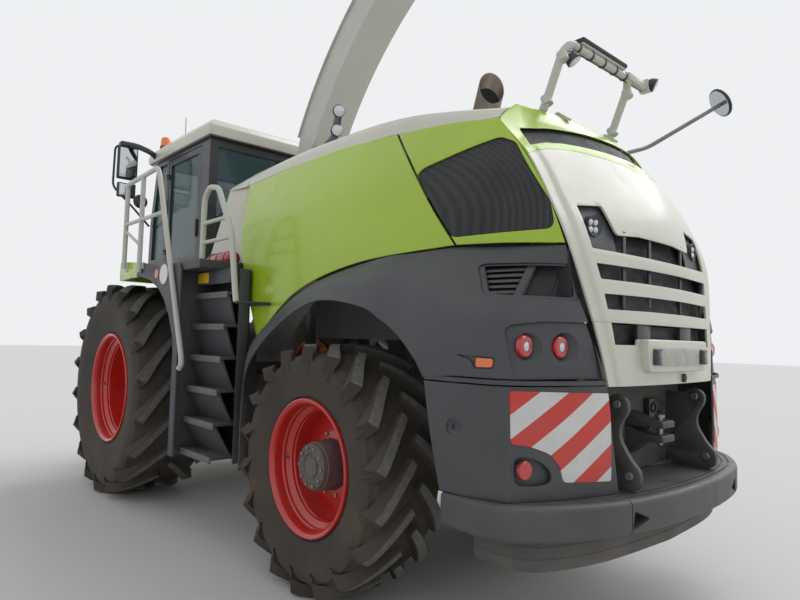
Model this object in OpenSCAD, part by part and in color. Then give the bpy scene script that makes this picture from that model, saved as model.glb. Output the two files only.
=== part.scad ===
// Self-propelled forage harvester, without its header. X is forward, Y is left, Z is up.
// Lengths along X below are counted from the front axle; placed() moves them to the part's origin.

/* [Wheels] */
// Outer diameter of a front tyre over its lugs
front_tyre_d = 1960; // [1900:10:2000]
// Width of a front tyre
front_tyre_w = 710; // [640:10:730]
// Radius of a front rim's flange
front_rim_r = 508; // [480:4:530]
// Distance from the middle plane to the middle of a front tyre
front_tyre_y = 1150; // [1140:5:1200]
// Outer diameter of a rear tyre over its lugs
rear_tyre_d = 1470; // [1420:10:1490]
// Width of a rear tyre
rear_tyre_w = 540; // [480:10:550]
// Radius of a rear rim's flange
rear_rim_r = 406; // [380:2:420]
// Distance from the middle plane to the middle of a rear tyre
rear_tyre_y = 1040; // [1035:5:1060]
// Lugs on each side of a tyre
lug_count = 18; // [16:1:22]
// Height of a lug over the carcass
lug_h = 48; // [35:1:55]

/* [Axles and frame] */
// Distance from the front axle to the rear axle
wheelbase = 3090; // [3070:5:3110]
// Half width of the frame over its rails
frame_half_w = 310; // [290:5:320]
// Width of a frame rail
rail_w = 110; // [90:5:120]
// Height of the rails' lower face above the ground
rail_z = 890; // [880:5:910]
// Height of a frame rail
rail_h = 230; // [200:5:240]
// Radius of the front axle's tube
front_axle_r = 125; // [110:5:140]
// Radius of a front wheel spindle
front_spindle_r = 90; // [80:2:100]
// Radius of a rear wheel spindle
rear_spindle_r = 60; // [50:2:66]
// Distance from the middle plane to a kingpin
kingpin_y = 700; // [690:5:710]
// Radius of a kingpin
kingpin_r = 35; // [28:1:40]

/* [Body] */
// Thickness of the outer panels
panel_t = 12; // [8:1:16]
// Gap between two panels, along the machine
panel_gap = 16; // [14:1:20]
// Height of the hood's side edge at its middle
hood_edge_z = 2790; // [2770:5:2800]
// Rise of the hood's crown over its side edge
hood_rise = 200; // [160:5:220]
// Thickness of the rear step's plate
step_t = 160; // [140:5:170]
// Height of the rear step's upper face
step_top_z = 800; // [790:2:806]

/* [Cab] */
// Half width of the cab
cab_half_w = 820; // [800:5:830]
// Length of the cab's floor
cab_l = 1500; // [1460:10:1520]
// Thickness of the cab's walls and posts
cab_wall = 60; // [50:2:70]
// Height of the cab's floor
cab_z = 2150; // [2140:5:2160]
// Height of the cab below its roof
cab_h = 1270; // [1240:5:1280]
// Thickness of the roof
roof_t = 190; // [160:5:200]
// Thickness of the windows
glass_t = 6; // [5:1:8]

/* [Spout] */
// Distance from the front axle back to the spout's turning axis
turret_x = 1150; // [1130:5:1160]
// Radius of the spout's turret
turret_r = 240; // [220:5:250]
// Height of the turret's top face
turret_z = 2950; // [2930:5:2960]
// Radius of the arc along the middle of the spout
spout_r = 3400; // [3300:20:3500]
// Angle that the spout's arc turns through
spout_turn = 62; // [56:1:64]
// Slope of the spout where it starts
spout_slope = 68; // [66:1:69]
// Depth of the spout's channel
spout_depth = 290; // [260:5:300]
// Width of the spout's channel
spout_w = 350; // [320:5:370]
// Thickness of the spout's sheet
spout_wall = 10; // [8:1:12]

/* [Intake] */
// Length of the intake housing ahead of its hinge
intake_l = 1250; // [1200:10:1300]
// Half width of the intake housing
intake_half_w = 430; // [410:5:440]
// Radius of a feed roll's core
roll_r = 120; // [100:5:130]
// Height of a feed roll's ribs
roll_rib = 26; // [18:1:30]

/* [Hidden] */
$fn = 48;

lime = [0.56, 0.68, 0.05];
cream = [0.83, 0.82, 0.76];
dark = [0.24, 0.25, 0.26];
black = [0.1, 0.1, 0.1];
red = [0.78, 0.08, 0.06];
steel = [0.55, 0.56, 0.57];

// Distance from the part's origin to the front axle
origin_x = 1600;
running_gap = 0.1;
seat_gap = 0.3;
front_z = front_tyre_d / 2;
rear_z = rear_tyre_d / 2;
front_rim_half = 305;
rear_rim_half = 238;
bead_step = 25;
cab_rear_x = -600;
cab_front_x = cab_rear_x + cab_l;
cab_top_z = cab_z + cab_h;
rail_top_z = rail_z + rail_h;
pivot_z = turret_z + 150;
intake_x = 400;
intake_z = 1100;
pin_r = 20;
open_gap = 8;
roll_shaft_r = 30;
// Places in X and Z of the rolls and of the cylinders' lower and upper pins
roll_places = [[intake_x + intake_l - 250, 1215], [intake_x + intake_l - 210, 850]];
lift_y = 520;
lift_foot = [60, 700];
lift_head = [900, 760];
spout_cyl_y = spout_w / 2 + 70;
spout_foot = [330 - turret_x, turret_z + 60];
spout_head = [-185 - turret_x, pivot_z + 773];

module placed() { translate([origin_x, 0, 0]) children(); }
module both_sides() { children(); mirror([0, 1, 0]) children(); }
module x_cylinder(y, z, x0, x1, r) {
    translate([x0, y, z]) rotate([0, 90, 0]) cylinder(h = x1 - x0, r = r);
}
module bar(p, q, r) {
    d = q - p;
    len = norm(d);
    translate(p) rotate([0, acos(d[2] / len), atan2(d[1], d[0])]) cylinder(h = len, r = r);
}
// A bent pipe along points, its bends rounded, with rings of 8 sides square to the path
function round_bends(p, b) = concat([p[0]],
    [for (i = [1:len(p) - 2]) let (u = unit(p[i - 1] - p[i]), v = unit(p[i + 1] - p[i]))
        each [for (t = [0:0.25:1]) p[i] + b * (u * (1 - t) * (1 - t) + v * t * t)]],
    [p[len(p) - 1]]);
module tube_path(points, r, bend = 60, ref = [0, 1, 0]) {
    p = round_bends(points, bend);
    n = len(p);
    rings = [for (i = [0:n - 1])
        let (t = unit(p[min(n - 1, i + 1)] - p[max(0, i - 1)]), a = unit(cross(t, ref)), b = cross(t, a))
        each [for (k = [0:7]) p[i] + r * (a * cos(45 * k) + b * sin(45 * k))]];
    sides = [for (i = [0:n - 2]) for (k = [0:7])
        let (a = 8 * i + k, b = 8 * i + (k + 1) % 8) [a, a + 8, b + 8, b]];
    polyhedron(points = rings, faces = concat([for (q = sides) each [[q[0], q[1], q[2]], [q[0], q[2], q[3]]]],
        [[for (k = [0:7]) k]], [[for (k = [7:-1:0]) 8 * (n - 1) + k]]), convexity = 8);
}
// A box from its low corner to its high corner
module block(low, high) { translate(low) cube(high - low); }
// An outline in X and Z, extruded from y0 to y1
module side_plate(outline, y0, y1) {
    translate([0, y1, 0]) rotate([90, 0, 0]) linear_extrude(y1 - y0) polygon(outline);
}
// An outline in Y and Z, extruded from x0 to x1
module cross_plate(outline, x0, x1) {
    translate([x0, 0, 0]) rotate([90, 0, 90]) linear_extrude(x1 - x0) polygon(outline);
}
module y_cylinder(x, z, y0, y1, r) {
    translate([x, y0, z]) rotate([-90, 0, 0]) cylinder(h = y1 - y0, r = r);
}

// A smooth curve through a list of points, at t from 0 to the last index
function knot(p, i) = p[max(0, min(len(p) - 1, i))];
function curve_at(p, t) =
    let (i = min(floor(t), len(p) - 2), f = t - i,
         a = knot(p, i - 1), b = knot(p, i), c = knot(p, i + 1), d = knot(p, i + 2))
    b + f * (c - a) / 2 + f * f * (a - 2.5 * b + 2 * c - d / 2)
      + f * f * f * (1.5 * (b - c) + (d - a) / 2);
function smooth(p, n) = [for (k = [0:n]) curve_at(p, k * (len(p) - 1) / n)];
function skin_grid(sections, n, m) =
    let (rows = [for (s = sections) smooth(s, m)])
    [for (k = [0:n]) let (t = k * (len(rows) - 1) / n)
        [for (j = [0:m]) curve_at([for (r = rows) r[j]], t)]];
function unit(v) = v / norm(v);
function grid_normal(g, i, j) =
    let (n = len(g) - 1, m = len(g[0]) - 1,
         du = g[min(n, i + 1)][j] - g[max(0, i - 1)][j],
         dv = g[i][min(m, j + 1)] - g[i][max(0, j - 1)])
    unit(cross(du, dv));
// A sheet of thickness t on the left-hand side of a skin through a few sections
module sheet(sections, t, n = 8, m = 6) {
    g = skin_grid(sections, n, m);
    w = m + 1;
    outer = [for (i = [0:n]) for (j = [0:m]) g[i][j]];
    inner = [for (i = [0:n]) for (j = [0:m]) g[i][j] - t * grid_normal(g, i, j)];
    c = (n + 1) * w;
    faces = concat(
        [for (i = [0:n - 1]) for (j = [0:m - 1]) each
            let (a = i * w + j, b = a + 1, e = a + w, f = e + 1)
            [[a, b, e], [b, f, e], [c + a, c + e, c + b], [c + b, c + e, c + f]]],
        [for (i = [0:n - 1]) each let (a = i * w, e = a + w)
            [[a, e, c + a], [e, c + e, c + a]]],
        [for (i = [0:n - 1]) each let (a = i * w + m, e = a + w)
            [[a, c + a, e], [e, c + a, c + e]]],
        [for (j = [0:m - 1]) each let (a = j, b = a + 1) [[a, c + a, b], [b, c + a, c + b]]],
        [for (j = [0:m - 1]) each let (a = n * w + j, b = a + 1)
            [[a, b, c + a], [b, c + b, c + a]]]);
    polyhedron(points = concat(outer, inner), faces = t > 0 ? faces : [for (f = faces) [f[2], f[1], f[0]]], convexity = 6);
}

// Wheels
module rim(flange_r, half, disc_y, hub_y, spindle_r) {
    bead_r = flange_r - bead_step;
    well_r = bead_r - 45;
    t = 12;
    // Radius and place across the rim, along the outside and back along the inside
    rotate([-90, 0, 0]) rotate_extrude($fn = 64) polygon([
        [flange_r - 10, half], [flange_r, half - 8], [flange_r, half - 20], [bead_r, half - 26],
        [bead_r, half - 90], [well_r, half - 130], [well_r, 130 - half], [bead_r, 90 - half],
        [bead_r, 26 - half], [flange_r, 20 - half], [flange_r, 8 - half], [flange_r - 10, -half],
        [bead_r - t, 22 - half], [bead_r - t, 94 - half], [well_r - t, 134 - half],
        [well_r - t, half - 134], [bead_r - t, half - 94], [bead_r - t, half - 22]]);
    difference() {
        rotate([-90, 0, 0]) rotate_extrude($fn = 64) polygon([
            [spindle_r + running_gap, disc_y - 14], [0.55 * well_r, disc_y - 14],
            [well_r - 4, disc_y - 60], [well_r - 4, disc_y - 44], [0.58 * well_r, disc_y + 4],
            [spindle_r + 95, disc_y + 4], [spindle_r + 85, hub_y - 30],
            [spindle_r + 60, hub_y], [spindle_r + running_gap, hub_y]]);
        for (k = [0:9]) rotate([0, k * 36, 0]) translate([spindle_r + 125, disc_y, 0])
            rotate([90, 0, 0]) cylinder(h = 60, r = 11, center = true, $fn = 20);
    }
}
// Rings across the tread. Each ring: place across in widths, radius of a bar, radius between
// bars, lean of the bars in pitches, half-pitch shift of the side that it belongs to
module tread(d, w) {
    n = lug_count;
    r = d / 2;
    base = r - lug_h;
    half = [[0.492, base - 66, base - 66, -1.30], [0.44, r - 10, base - 16, -1.05],
            [0.22, r, base, -0.45], [0.04, r - 2, base, 0]];
    rings = concat([for (q = half) concat(q, [0])], [[0, base, base, 0.25, 0.0]],
        [for (k = [3:-1:0]) let (q = half[k]) [-q[0], q[1], q[2], q[3], 0.5]]);
    // Where the four points of a bar stand within its pitch
    stand = [-0.20, -0.13, 0.15, 0.22];
    m = 4 * n;
    pts = [for (i = [0:len(rings) - 1]) let (q = rings[i]) for (k = [0:n - 1]) for (b = [0:3])
        let (a = 360 / n * (k + q[3] + q[4] + (i == 4 ? 0.25 * b - 0.375 : stand[b])),
             rr = b == 1 || b == 2 ? q[1] : q[2])
        [rr * sin(a), q[0] * w, rr * cos(a)]];
    function quad(a, b, c, e) = [[a, b, c], [a, c, e]];
    faces = [for (i = [0:len(rings) - 1]) let (j = (i + 1) % len(rings)) for (k = [0:m - 1])
        each quad(i * m + k, i * m + (k + 1) % m, j * m + (k + 1) % m, j * m + k)];
    polyhedron(points = pts, faces = faces, convexity = 4);
}
module tyre(d, w, flange_r, half) {
    r = d / 2 - lug_h;
    seat = flange_r - bead_step + seat_gap;
    toe = half - 26 - seat_gap;
    rotate([-90, 0, 0]) rotate_extrude($fn = 60) polygon([
        [seat, -toe], [flange_r + 14, -toe], [0.55 * flange_r + 0.45 * r, 20 - w / 2],
        [0.35 * flange_r + 0.65 * r, 6 - w / 2], [r - 50, 30 - w / 2], [r - 20, -0.36 * w],
        [r - 20, 0.36 * w], [r - 50, w / 2 - 30],
        [0.35 * flange_r + 0.65 * r, w / 2 - 6], [0.55 * flange_r + 0.45 * r, w / 2 - 20],
        [flange_r + 14, toe], [seat, toe]]);
    tread(d, w);
}
module front_wheel_place() { translate([0, front_tyre_y, front_z]) children(); }
module rear_wheel_place() { translate([-wheelbase, rear_tyre_y, rear_z]) children(); }
module front_rim() {
    color(red) front_wheel_place() rim(front_rim_r, front_rim_half, -40, 60, front_spindle_r);
}
module rear_rim() {
    color(red) rear_wheel_place() rim(rear_rim_r, rear_rim_half, 30, 190, rear_spindle_r);
}
module front_tyre() {
    color(black) front_wheel_place() tyre(front_tyre_d, front_tyre_w, front_rim_r, front_rim_half);
}
module rear_tyre() {
    color(black) rear_wheel_place() tyre(rear_tyre_d, rear_tyre_w, rear_rim_r, rear_rim_half);
}

// Axles, frame and drive
frame_rear_x = -4440;
saddle_z = rail_top_z + 20;
engine_z = 1500;
engine_top_z = 2450;
// Places in X of the posts under the cab, and their outer faces
cab_post_x = [-480, 100];
cab_post_y = 570;
side_beam_y = 1000;
side_beam_z = 1280;
axle_boss_r = 70;
boss_half = 110;
fork_gap = 1;
rock_z = rail_z - 60;
rock_half = 120;
rock_pin_r = 40;
fork_t = 40;
module front_axle() {
    arm_y = lift_y + 46;
    color(dark) union() {
        y_cylinder(0, front_z, 150 - front_tyre_y, front_tyre_y - 150, front_axle_r);
        both_sides() {
            y_cylinder(0, front_z, 720, front_tyre_y - 56, front_axle_r + 75);
            y_cylinder(0, front_z, front_tyre_y - 60, front_tyre_y + 59, front_spindle_r);
            // Arms that hold the lift cylinders' lower pins
            side_plate([[-60, front_z - 90], [lift_foot[0] - 50, lift_foot[1]], [lift_foot[0], lift_foot[1] - 50],
                [lift_foot[0] + 50, lift_foot[1]], [100, front_z - 60]], arm_y, arm_y + 20);
            y_cylinder(lift_foot[0], lift_foot[1], lift_y - 34, arm_y + 20, pin_r);
        }
    }
}
module rear_axle() {
    boss = kingpin_y - axle_boss_r;
    color(dark) difference() {
        union() {
            block([-wheelbase - 90, -boss - 20, rear_z - 90], [-wheelbase + 90, boss + 20, rear_z + 90]);
            // Hub and pin on which the axle rocks under the frame, and the web that carries them
            block([-wheelbase - 60, -60, rear_z], [-wheelbase + 60, 60, rock_z]);
            x_cylinder(0, rock_z, -wheelbase - rock_half + 5, -wheelbase + rock_half - 5, 75);
            x_cylinder(0, rock_z, -wheelbase - rock_half - 60, -wheelbase + rock_half + 60, rock_pin_r);
            both_sides() translate([-wheelbase, kingpin_y, rear_z - boss_half])
                cylinder(h = 2 * boss_half, r = axle_boss_r);
        }
        both_sides() translate([-wheelbase, kingpin_y, rear_z - boss_half - 1])
            cylinder(h = 2 * boss_half + 2, r = kingpin_r + running_gap);
    }
}
module knuckle() {
    plate_z = boss_half + fork_gap;
    web_y = kingpin_y + axle_boss_r + 12;
    color(dark) translate([-wheelbase, 0, rear_z]) union() {
        for (s = [-1, 1]) {
            translate([0, kingpin_y, s * (plate_z + fork_t / 2)])
                cylinder(h = fork_t, r = 62, center = true);
            translate([-60, kingpin_y, s * (plate_z + fork_t / 2) - fork_t / 2])
                cube([120, web_y + 45 - kingpin_y, fork_t]);
        }
        translate([-60, web_y, -plate_z - fork_t]) cube([120, 45, 2 * (plate_z + fork_t)]);
        translate([0, kingpin_y, -plate_z - 5]) cylinder(h = 2 * plate_z + 10, r = kingpin_r);
        y_cylinder(0, 0, web_y + 40, rear_tyre_y + 8, rear_spindle_r + 40);
        y_cylinder(0, 0, rear_tyre_y, rear_tyre_y + 188, rear_spindle_r);
    }
}
module frame() {
    inner = frame_half_w - rail_w;
    beam_z = 1040;
    color(dark) difference() {
        union() {
            both_sides() {
                block([frame_rear_x, inner, rail_z], [300, frame_half_w, rail_top_z]);
                // Saddle over the front axle's tube
                block([-200, inner, rail_top_z - 5], [200, frame_half_w, saddle_z]);
                // Posts under the engine and behind the radiator
                for (x = [-3250, -2350]) block([x, inner, rail_top_z - 5], [x + 120, frame_half_w, engine_z]);
                block([frame_rear_x, inner, rail_top_z - 5], [frame_rear_x + 80, frame_half_w, 1900]);
                // Posts that carry the cab, on beams that stand out from the rails
                for (x = cab_post_x) {
                    block([x, cab_post_y - 90, beam_z], [x + 90, cab_post_y, cab_z - seat_gap]);
                    block([x, frame_half_w - 5, beam_z], [x + 90, cab_post_y, beam_z + 85]);
                }
                // Beams that carry the ladder, the side tank and the platforms
                block([-1480, frame_half_w - 5, side_beam_z - 80], [-1400, side_beam_y, side_beam_z]);
                block([-1480, inner, rail_top_z - 5], [-1400, frame_half_w, side_beam_z]);
            }
            for (x = [frame_rear_x, -2700, -1750])
                block([x, rail_w - frame_half_w, rail_z + 30], [x + 100, frame_half_w - rail_w, rail_top_z - 30]);
            // Plates in front of and behind the rear axle's hub
            for (s = [-1, 1]) translate([-wheelbase + s * (rock_half + 25), 0, 0])
                block([-25, -inner - 5, rock_z - 70], [25, inner + 5, rail_top_z - 40]);
        }
        y_cylinder(0, front_z, -cab_post_y - 30, cab_post_y + 30, front_axle_r + seat_gap);
        x_cylinder(0, rock_z, -wheelbase - 300, -wheelbase + 300, rock_pin_r + running_gap);
    }
}
module engine_block() {
    color(steel) block([-3300, -620, engine_z], [-2200, 620, engine_top_z]);
}
module drum_housing() {
    outline = [[-330, 1180], [-200, 1160], [60, 1170], [290, 1140], [290, 1500], [120, 1620], [-200, 1640], [-330, 1560]];
    ear = [[200, 1150], [280, 1030], [intake_x, intake_z - 70], [intake_x + 60, intake_z - 30],
        [intake_x + 60, intake_z + 40], [intake_x, intake_z + 75], [280, 1300], [200, 1300]];
    color(steel) union() {
        side_plate(outline, -intake_half_w + 40, intake_half_w - 40);
        both_sides() {
            side_plate(ear, intake_half_w - 42, intake_half_w - 20);
            y_cylinder(intake_x, intake_z, intake_half_w - 42, intake_half_w + 14, 50);
        }
        // Feet on the frame's saddles
        both_sides() block([-180, frame_half_w - rail_w + 15, saddle_z + seat_gap], [180, frame_half_w - 10, saddle_z + 45]);
    }
}
// The duct that carries the crop up and back to the turret, and the turret's tube
module crop_duct() {
    outline = [[-330, 1300], [-330, 1560], [-turret_x + turret_r - 20, 2330], [-turret_x + turret_r - 20, 2420],
        [-turret_x - turret_r + 20, 2420], [-turret_x - turret_r + 20, 2180], [-900, 1800]];
    color(steel) union() {
        side_plate(outline, -190, 190);
        translate([-turret_x, 0, 2380]) cylinder(h = turret_z - 2380, r = turret_r - 30);
        translate([-turret_x, 0, turret_z - 40]) cylinder(h = 40, r = turret_r + 30);
        // Brackets that hold the cover round the turret
        both_sides() block([-turret_x - 60, 180, 2230], [-turret_x + 60, cover_half_w - panel_t - seat_gap, 2300]);
    }
}

cover_half_w = 850;
// The cover round the turret, between the cab and the hood, open below
module turret_cover() {
    e = hood_edge_z;
    c = hood_edge_z + hood_rise;
    low = 2080;
    color(cream) difference() {
        union() {
            sheet([
                [for (s = [1, 0.84, 0, -0.84, -1]) [-1492, s * 870, abs(s) > 0.9 ? e - 34 : abs(s) > 0.5 ? c - 94 : c - 44]],
                [for (s = [1, 0.84, 0, -0.84, -1]) [-1120, s * cover_half_w, abs(s) > 0.9 ? e - 10 : abs(s) > 0.5 ? c - 150 : c - 110]]
            ], panel_t, 2, 14);
            both_sides() side_plate([[-690, low], [-1120, e - 4], [-1492, e - 16], [-1766, low]], cover_half_w - panel_t, cover_half_w);
            side_plate([[-690, low], [-1120, e - 4], [-1132, e - 4], [-702, low]], -cover_half_w, cover_half_w);
        }
        translate([-turret_x, 0, 2400]) cylinder(h = 700, r = turret_r + 40);
    }
}

// Rear step, weight and hitch
// Outline of the rear step seen from above, left half from the front end to the middle
step_outline = [[-4130, 1210], [-4420, 1215], [-4560, 1130], [-4700, 900], [-4790, 640], [-4840, 300], [-4850, 0]];
module half_to_full(left, inner, z, t) {
    pts = concat(smooth(left, 18), [for (p = [18:-1:0]) let (q = smooth(left, 18)[p]) [q[0], -q[1]]], inner);
    translate([0, 0, z]) linear_extrude(t) polygon(pts);
}
module rear_step() {
    inner = [[-4130, -880], [-4400, -880], [-4400, 880], [-4130, 880]];
    low = [[-4200, 1040], [-4440, 1030], [-4560, 900], [-4650, 560], [-4690, 0]];
    low_inner = [[-4200, -860], [-4380, -860], [-4380, 860], [-4200, 860]];
    color(dark) union() {
        half_to_full(step_outline, inner, step_top_z - step_t, step_t);
        half_to_full(low, low_inner, step_top_z - step_t - 170, 175);
        both_sides() block([frame_rear_x + 10, 200, step_top_z - 60], [frame_rear_x + 90, 300, rail_z - seat_gap]);
    }
}
hitch_x = -4690;
module tow_hitch() {
    // Outline of a hitch plate in X and Z
    ear = [[-4440, 840], [-4560, 800.3], [-4720, 800.3], [-4750, 850], [-4745, 900], [-4690, 960], [-4640, 1050],
        [-4690, 1180], [-4680, 1240], [-4620, 1270], [-4570, 1230], [-4440, 1160]];
    color(dark) difference() {
        union() {
            both_sides() side_plate(ear, 440, 470);
            block([frame_rear_x - 20, -470, 860], [frame_rear_x - seat_gap, 470, 1180]);
            side_plate([[-4460, 1060], [-4560, 1025], [-4680, 1025], [-4680, 985], [-4560, 985], [-4460, 900]], -70, 70);
            side_plate([[-4460, 1140], [-4560, 1102], [-4680, 1102], [-4680, 1062], [-4460, 1062]], -70, 70);
        }
        for (e = [[-4700, 874], [-4635, 1215]]) y_cylinder(e[0], e[1], -500, 500, 19);
        translate([hitch_x + 60, 0, 850]) cylinder(h = 400, r = 16);
    }
}

// Hinges of the covers: the middle of each pin on the left side, and the way that each pin runs
side_hinges = [[-2050, 925, 2800], [-2950, 925, 2800]];
side_hinge_way = [1, 0, 0];
mesh_hinges = [[-3480, 904.7, 2784.6], [-4040, 830.8, 2745.7]];
mesh_hinge_way = unit(mesh_hinges[0] - mesh_hinges[1]);
hinge_pin_r = 8;
module hinge_ear(at) {
    translate(at) cross_plate([[-84, -12], [-84, 12], [0, 14], [13, 8], [13, -8], [0, -13], [-13, -6], [-45, -3], [-50, -12]], -18, -4);
}
module hinge_arm(at, way) {
    translate(at) cross_plate([[-25, -60], [-13, -60], [13, -10], [13, 6], [0, 13], [-13, 4], [-30, -22]], 4, 18);
    bar(at - 20 * way, at + 16 * way, hinge_pin_r);
}
// Outer panels. Each section is a list of points from low to high or from left to right.
split = [[-3960, 958, 2015], [-3800, 972, 2230], [-3610, 957, 2500], [-3390, 883, 2765]];
rear_split = [[-4556, 812, 1990], [-4520, 832, 2220], [-4400, 828, 2450], [-4130, 788, 2715]];
function moved(section, v) = [for (p = section) p + v];
module side_panel() {
    color(lime) for (h = side_hinges) hinge_arm(h, side_hinge_way);
    color(lime) sheet([
        [[-2060, 1050, 1490], [-1900, 1060, 1870], [-1740, 1045, 2250], [-1550, 890, 2755]],
        [[-2560, 1050, 1806], [-2500, 1060, 2060], [-2420, 1022, 2400], [-2300, 898, 2785]],
        [[-3200, 1028, 1966], [-3130, 1032, 2155], [-3040, 1002, 2450], [-2900, 898, 2790]],
        split], panel_t, 10, 6);
}
module mesh_panel() {
    color(lime) for (h = mesh_hinges) hinge_arm(h, mesh_hinge_way);
    color(lime) difference() {
        sheet([moved(split, [-panel_gap - 6, 0, 0]),
            [[-4270, 903, 2005], [-4180, 923, 2230], [-4060, 903, 2480], [-3790, 848, 2745]],
            moved(rear_split, [panel_gap, 0, 0])], panel_t, 8, 6);
        translate([0, 1200, 0]) rotate([90, 0, 0]) linear_extrude(500) polygon(mesh_window);
    }
    color(black) intersection() {
        sheet([moved(split, [-panel_gap - 6, -panel_t / 2, 0]),
            [[-4270, 903 - panel_t / 2, 2005], [-4180, 923 - panel_t / 2, 2230],
             [-4060, 903 - panel_t / 2, 2480], [-3790, 848 - panel_t / 2, 2745]],
            moved(rear_split, [panel_gap, -panel_t / 2, 0])], panel_t / 2, 8, 6);
        translate([0, 1200, 0]) rotate([90, 0, 0]) linear_extrude(500) polygon(mesh_window);
    }
}
mesh_window = [[-3900, 2085], [-3960, 2055], [-4480, 2060], [-4500, 2090], [-4480, 2200], [-4260, 2540],
    [-4160, 2590], [-3700, 2480], [-3660, 2440], [-3700, 2350]];
module hood_top() {
    e = hood_edge_z;
    c = hood_edge_z + hood_rise;
    color(cream) difference() {
        union() {
            sheet([
                [for (s = [1, 0.84, 0, -0.84, -1]) [-1500, s * 882, abs(s) > 0.9 ? e - 30 : abs(s) > 0.5 ? c - 90 : c - 40]],
                [for (s = [1, 0.84, 0, -0.84, -1]) [-2400, s * 890, abs(s) > 0.9 ? e + 3 : abs(s) > 0.5 ? c - 50 : c]],
                [for (s = [1, 0.84, 0, -0.84, -1]) [-3350, s * 876, abs(s) > 0.9 ? e - 16 : abs(s) > 0.5 ? c - 66 : c - 10]],
                [for (s = [1, 0.80, 0, -0.80, -1]) [-4105, s * 780, abs(s) > 0.9 ? e - 66 : abs(s) > 0.5 ? e + 28 : e + 60]]
            ], panel_t, 10, 14);
            both_sides() {
                for (h = concat(side_hinges, mesh_hinges)) hinge_ear(h);
                // Legs on the engine: place in X and height of the top
                for (q = [[-2600, c - 33], [-3220, c - 45]]) block([q[0], 560, engine_top_z + seat_gap], [q[0] + 40, 600, q[1]]);
                side_plate([[-4088, 2830], [-4125, 2846], [-4156, 2852], [-4156, 2872], [-4128, 2880], [-4088, 2858]], 236, 252);
            }
        }
        both_sides() {
            for (h = side_hinges) bar(h - 40 * side_hinge_way, h + 30 * side_hinge_way, hinge_pin_r + running_gap);
            for (h = mesh_hinges) bar(h - 40 * mesh_hinge_way, h + 30 * mesh_hinge_way, hinge_pin_r + running_gap);
            y_cylinder(rear_hinge[0], rear_hinge[1], 230, 320, rear_hinge_r + running_gap);
            bar(rest_legs[0] - [-35, 0, 60], rest_legs[1], rest_r + seat_gap);
        }
        bar([mirror_arm[0][0], mirror_arm[0][1], 2600], mirror_arm[1], mirror_arm_r + seat_gap);
        translate([exhaust_x, exhaust_y, 2600]) cylinder(h = 700, r = exhaust_r + 20);
    }
}
// Axis of the rear hood's hinge in X and Z
rear_hinge = [-4140, 2862];
rear_hinge_r = 10;
rest_r = 25;
rest_legs = [[-4050, 376, 2775], [-4120, 376, 2895]];
mirror_arm = [[-4050, -680, 2700], [-4050, -680, 2860], [-4120, -900, 2940], [-4440, -1390, 3310]];
mirror_arm_r = 17;
exhaust_x = -3090;
exhaust_y = -300;
exhaust_r = 105;
module exhaust() {
    lean = 7;
    // A pipe that leans back, its mouth cut on the slant
    color([0.35, 0.3, 0.26]) translate([exhaust_x + 60, exhaust_y, engine_top_z + exhaust_r * sin(lean) + seat_gap]) rotate([0, -lean, 0]) difference() {
        cylinder(h = 1060, r = exhaust_r);
        translate([0, 0, 800]) cylinder(h = 400, r = exhaust_r - 6);
        translate([-200, 0, 1010]) rotate([0, -32, 0]) translate([-300, -200, 0]) cube([900, 400, 400]);
    }
}
module rear_hood() {
    // Height, x at the middle, x at the edge, half width
    rows = [[1625, -4672, -4628, 690], [1990, -4622, -4566, 806], [2240, -4560, -4505, 824],
        [2470, -4470, -4385, 818], [2715, -4330, -4138, 784], [2835, -4190, -4112, 640]];
    color(cream) difference() {
        sheet([for (r = rows) [for (s = [1, 0.5, 0, -0.5, -1])
            [s * s * r[2] + (1 - s * s) * r[1], s * r[3], r[0]]]], panel_t, 12, 12);
        // Openings between the bars: low edge, half width at the low and high edges
        for (g = [[1575, 490, 500], [1712, 520, 535], [1862, 555, 570], [1996, 590, 565]])
            translate([-5000, 0, g[0]]) rotate([90, 0, 90]) linear_extrude(600)
                polygon([[-g[1], 0], [g[1], 0], [g[2], 80], [0, 60], [-g[2], 80]]);
    }
    // Arms and pins of its hinge
    color(cream) both_sides() {
        side_plate([[-4215, 2806], [-4146, 2848], [-4128, 2852], [-4128, 2872], [-4146, 2876], [-4225, 2818]], 258, 284);
        y_cylinder(rear_hinge[0], rear_hinge[1], 232, 284, rear_hinge_r);
    }
}
module rear_panel() {
    // Height, x at the middle, x at the edge, half width
    rows = [[1312, -4702, -4668, 612], [1460, -4690, -4650, 645], [1615, -4674, -4630, 686]];
    color(cream) difference() {
        sheet([for (r = rows) [for (s = [1, 0.5, 0, -0.5, -1])
            [s * s * r[2] + (1 - s * s) * r[1], s * r[3], r[0]]]], panel_t, 3, 8);
        block([-5000, -480, 1535], [-4400, 480, 1700]);
    }
    // Arms that hold it to the frame's rear posts
    color(cream) both_sides() block([-4686, 225, 1380], [frame_rear_x - seat_gap, 285, 1430]);
}
module rear_fender() {
    color(dark) sheet([
        [[-2060, 1040, 540], [-2090, 1130, 540], [-2140, 1200, 540]],
        [[-2062, 1040, 1000], [-2095, 1145, 1000], [-2170, 1215, 1000]],
        [[-2075, 1050, 1440], [-2140, 1160, 1380], [-2270, 1230, 1290]],
        [[-2340, 1052, 1665], [-2450, 1170, 1600], [-2600, 1240, 1540]],
        [[-2800, 1048, 1865], [-2920, 1170, 1790], [-3050, 1240, 1720]],
        [[-3400, 1022, 1975], [-3440, 1150, 1850], [-3480, 1230, 1690]],
        [[-3960, 950, 2002], [-3950, 1110, 1800], [-3860, 1205, 1490]]], -panel_t, 14, 5);
}
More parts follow.
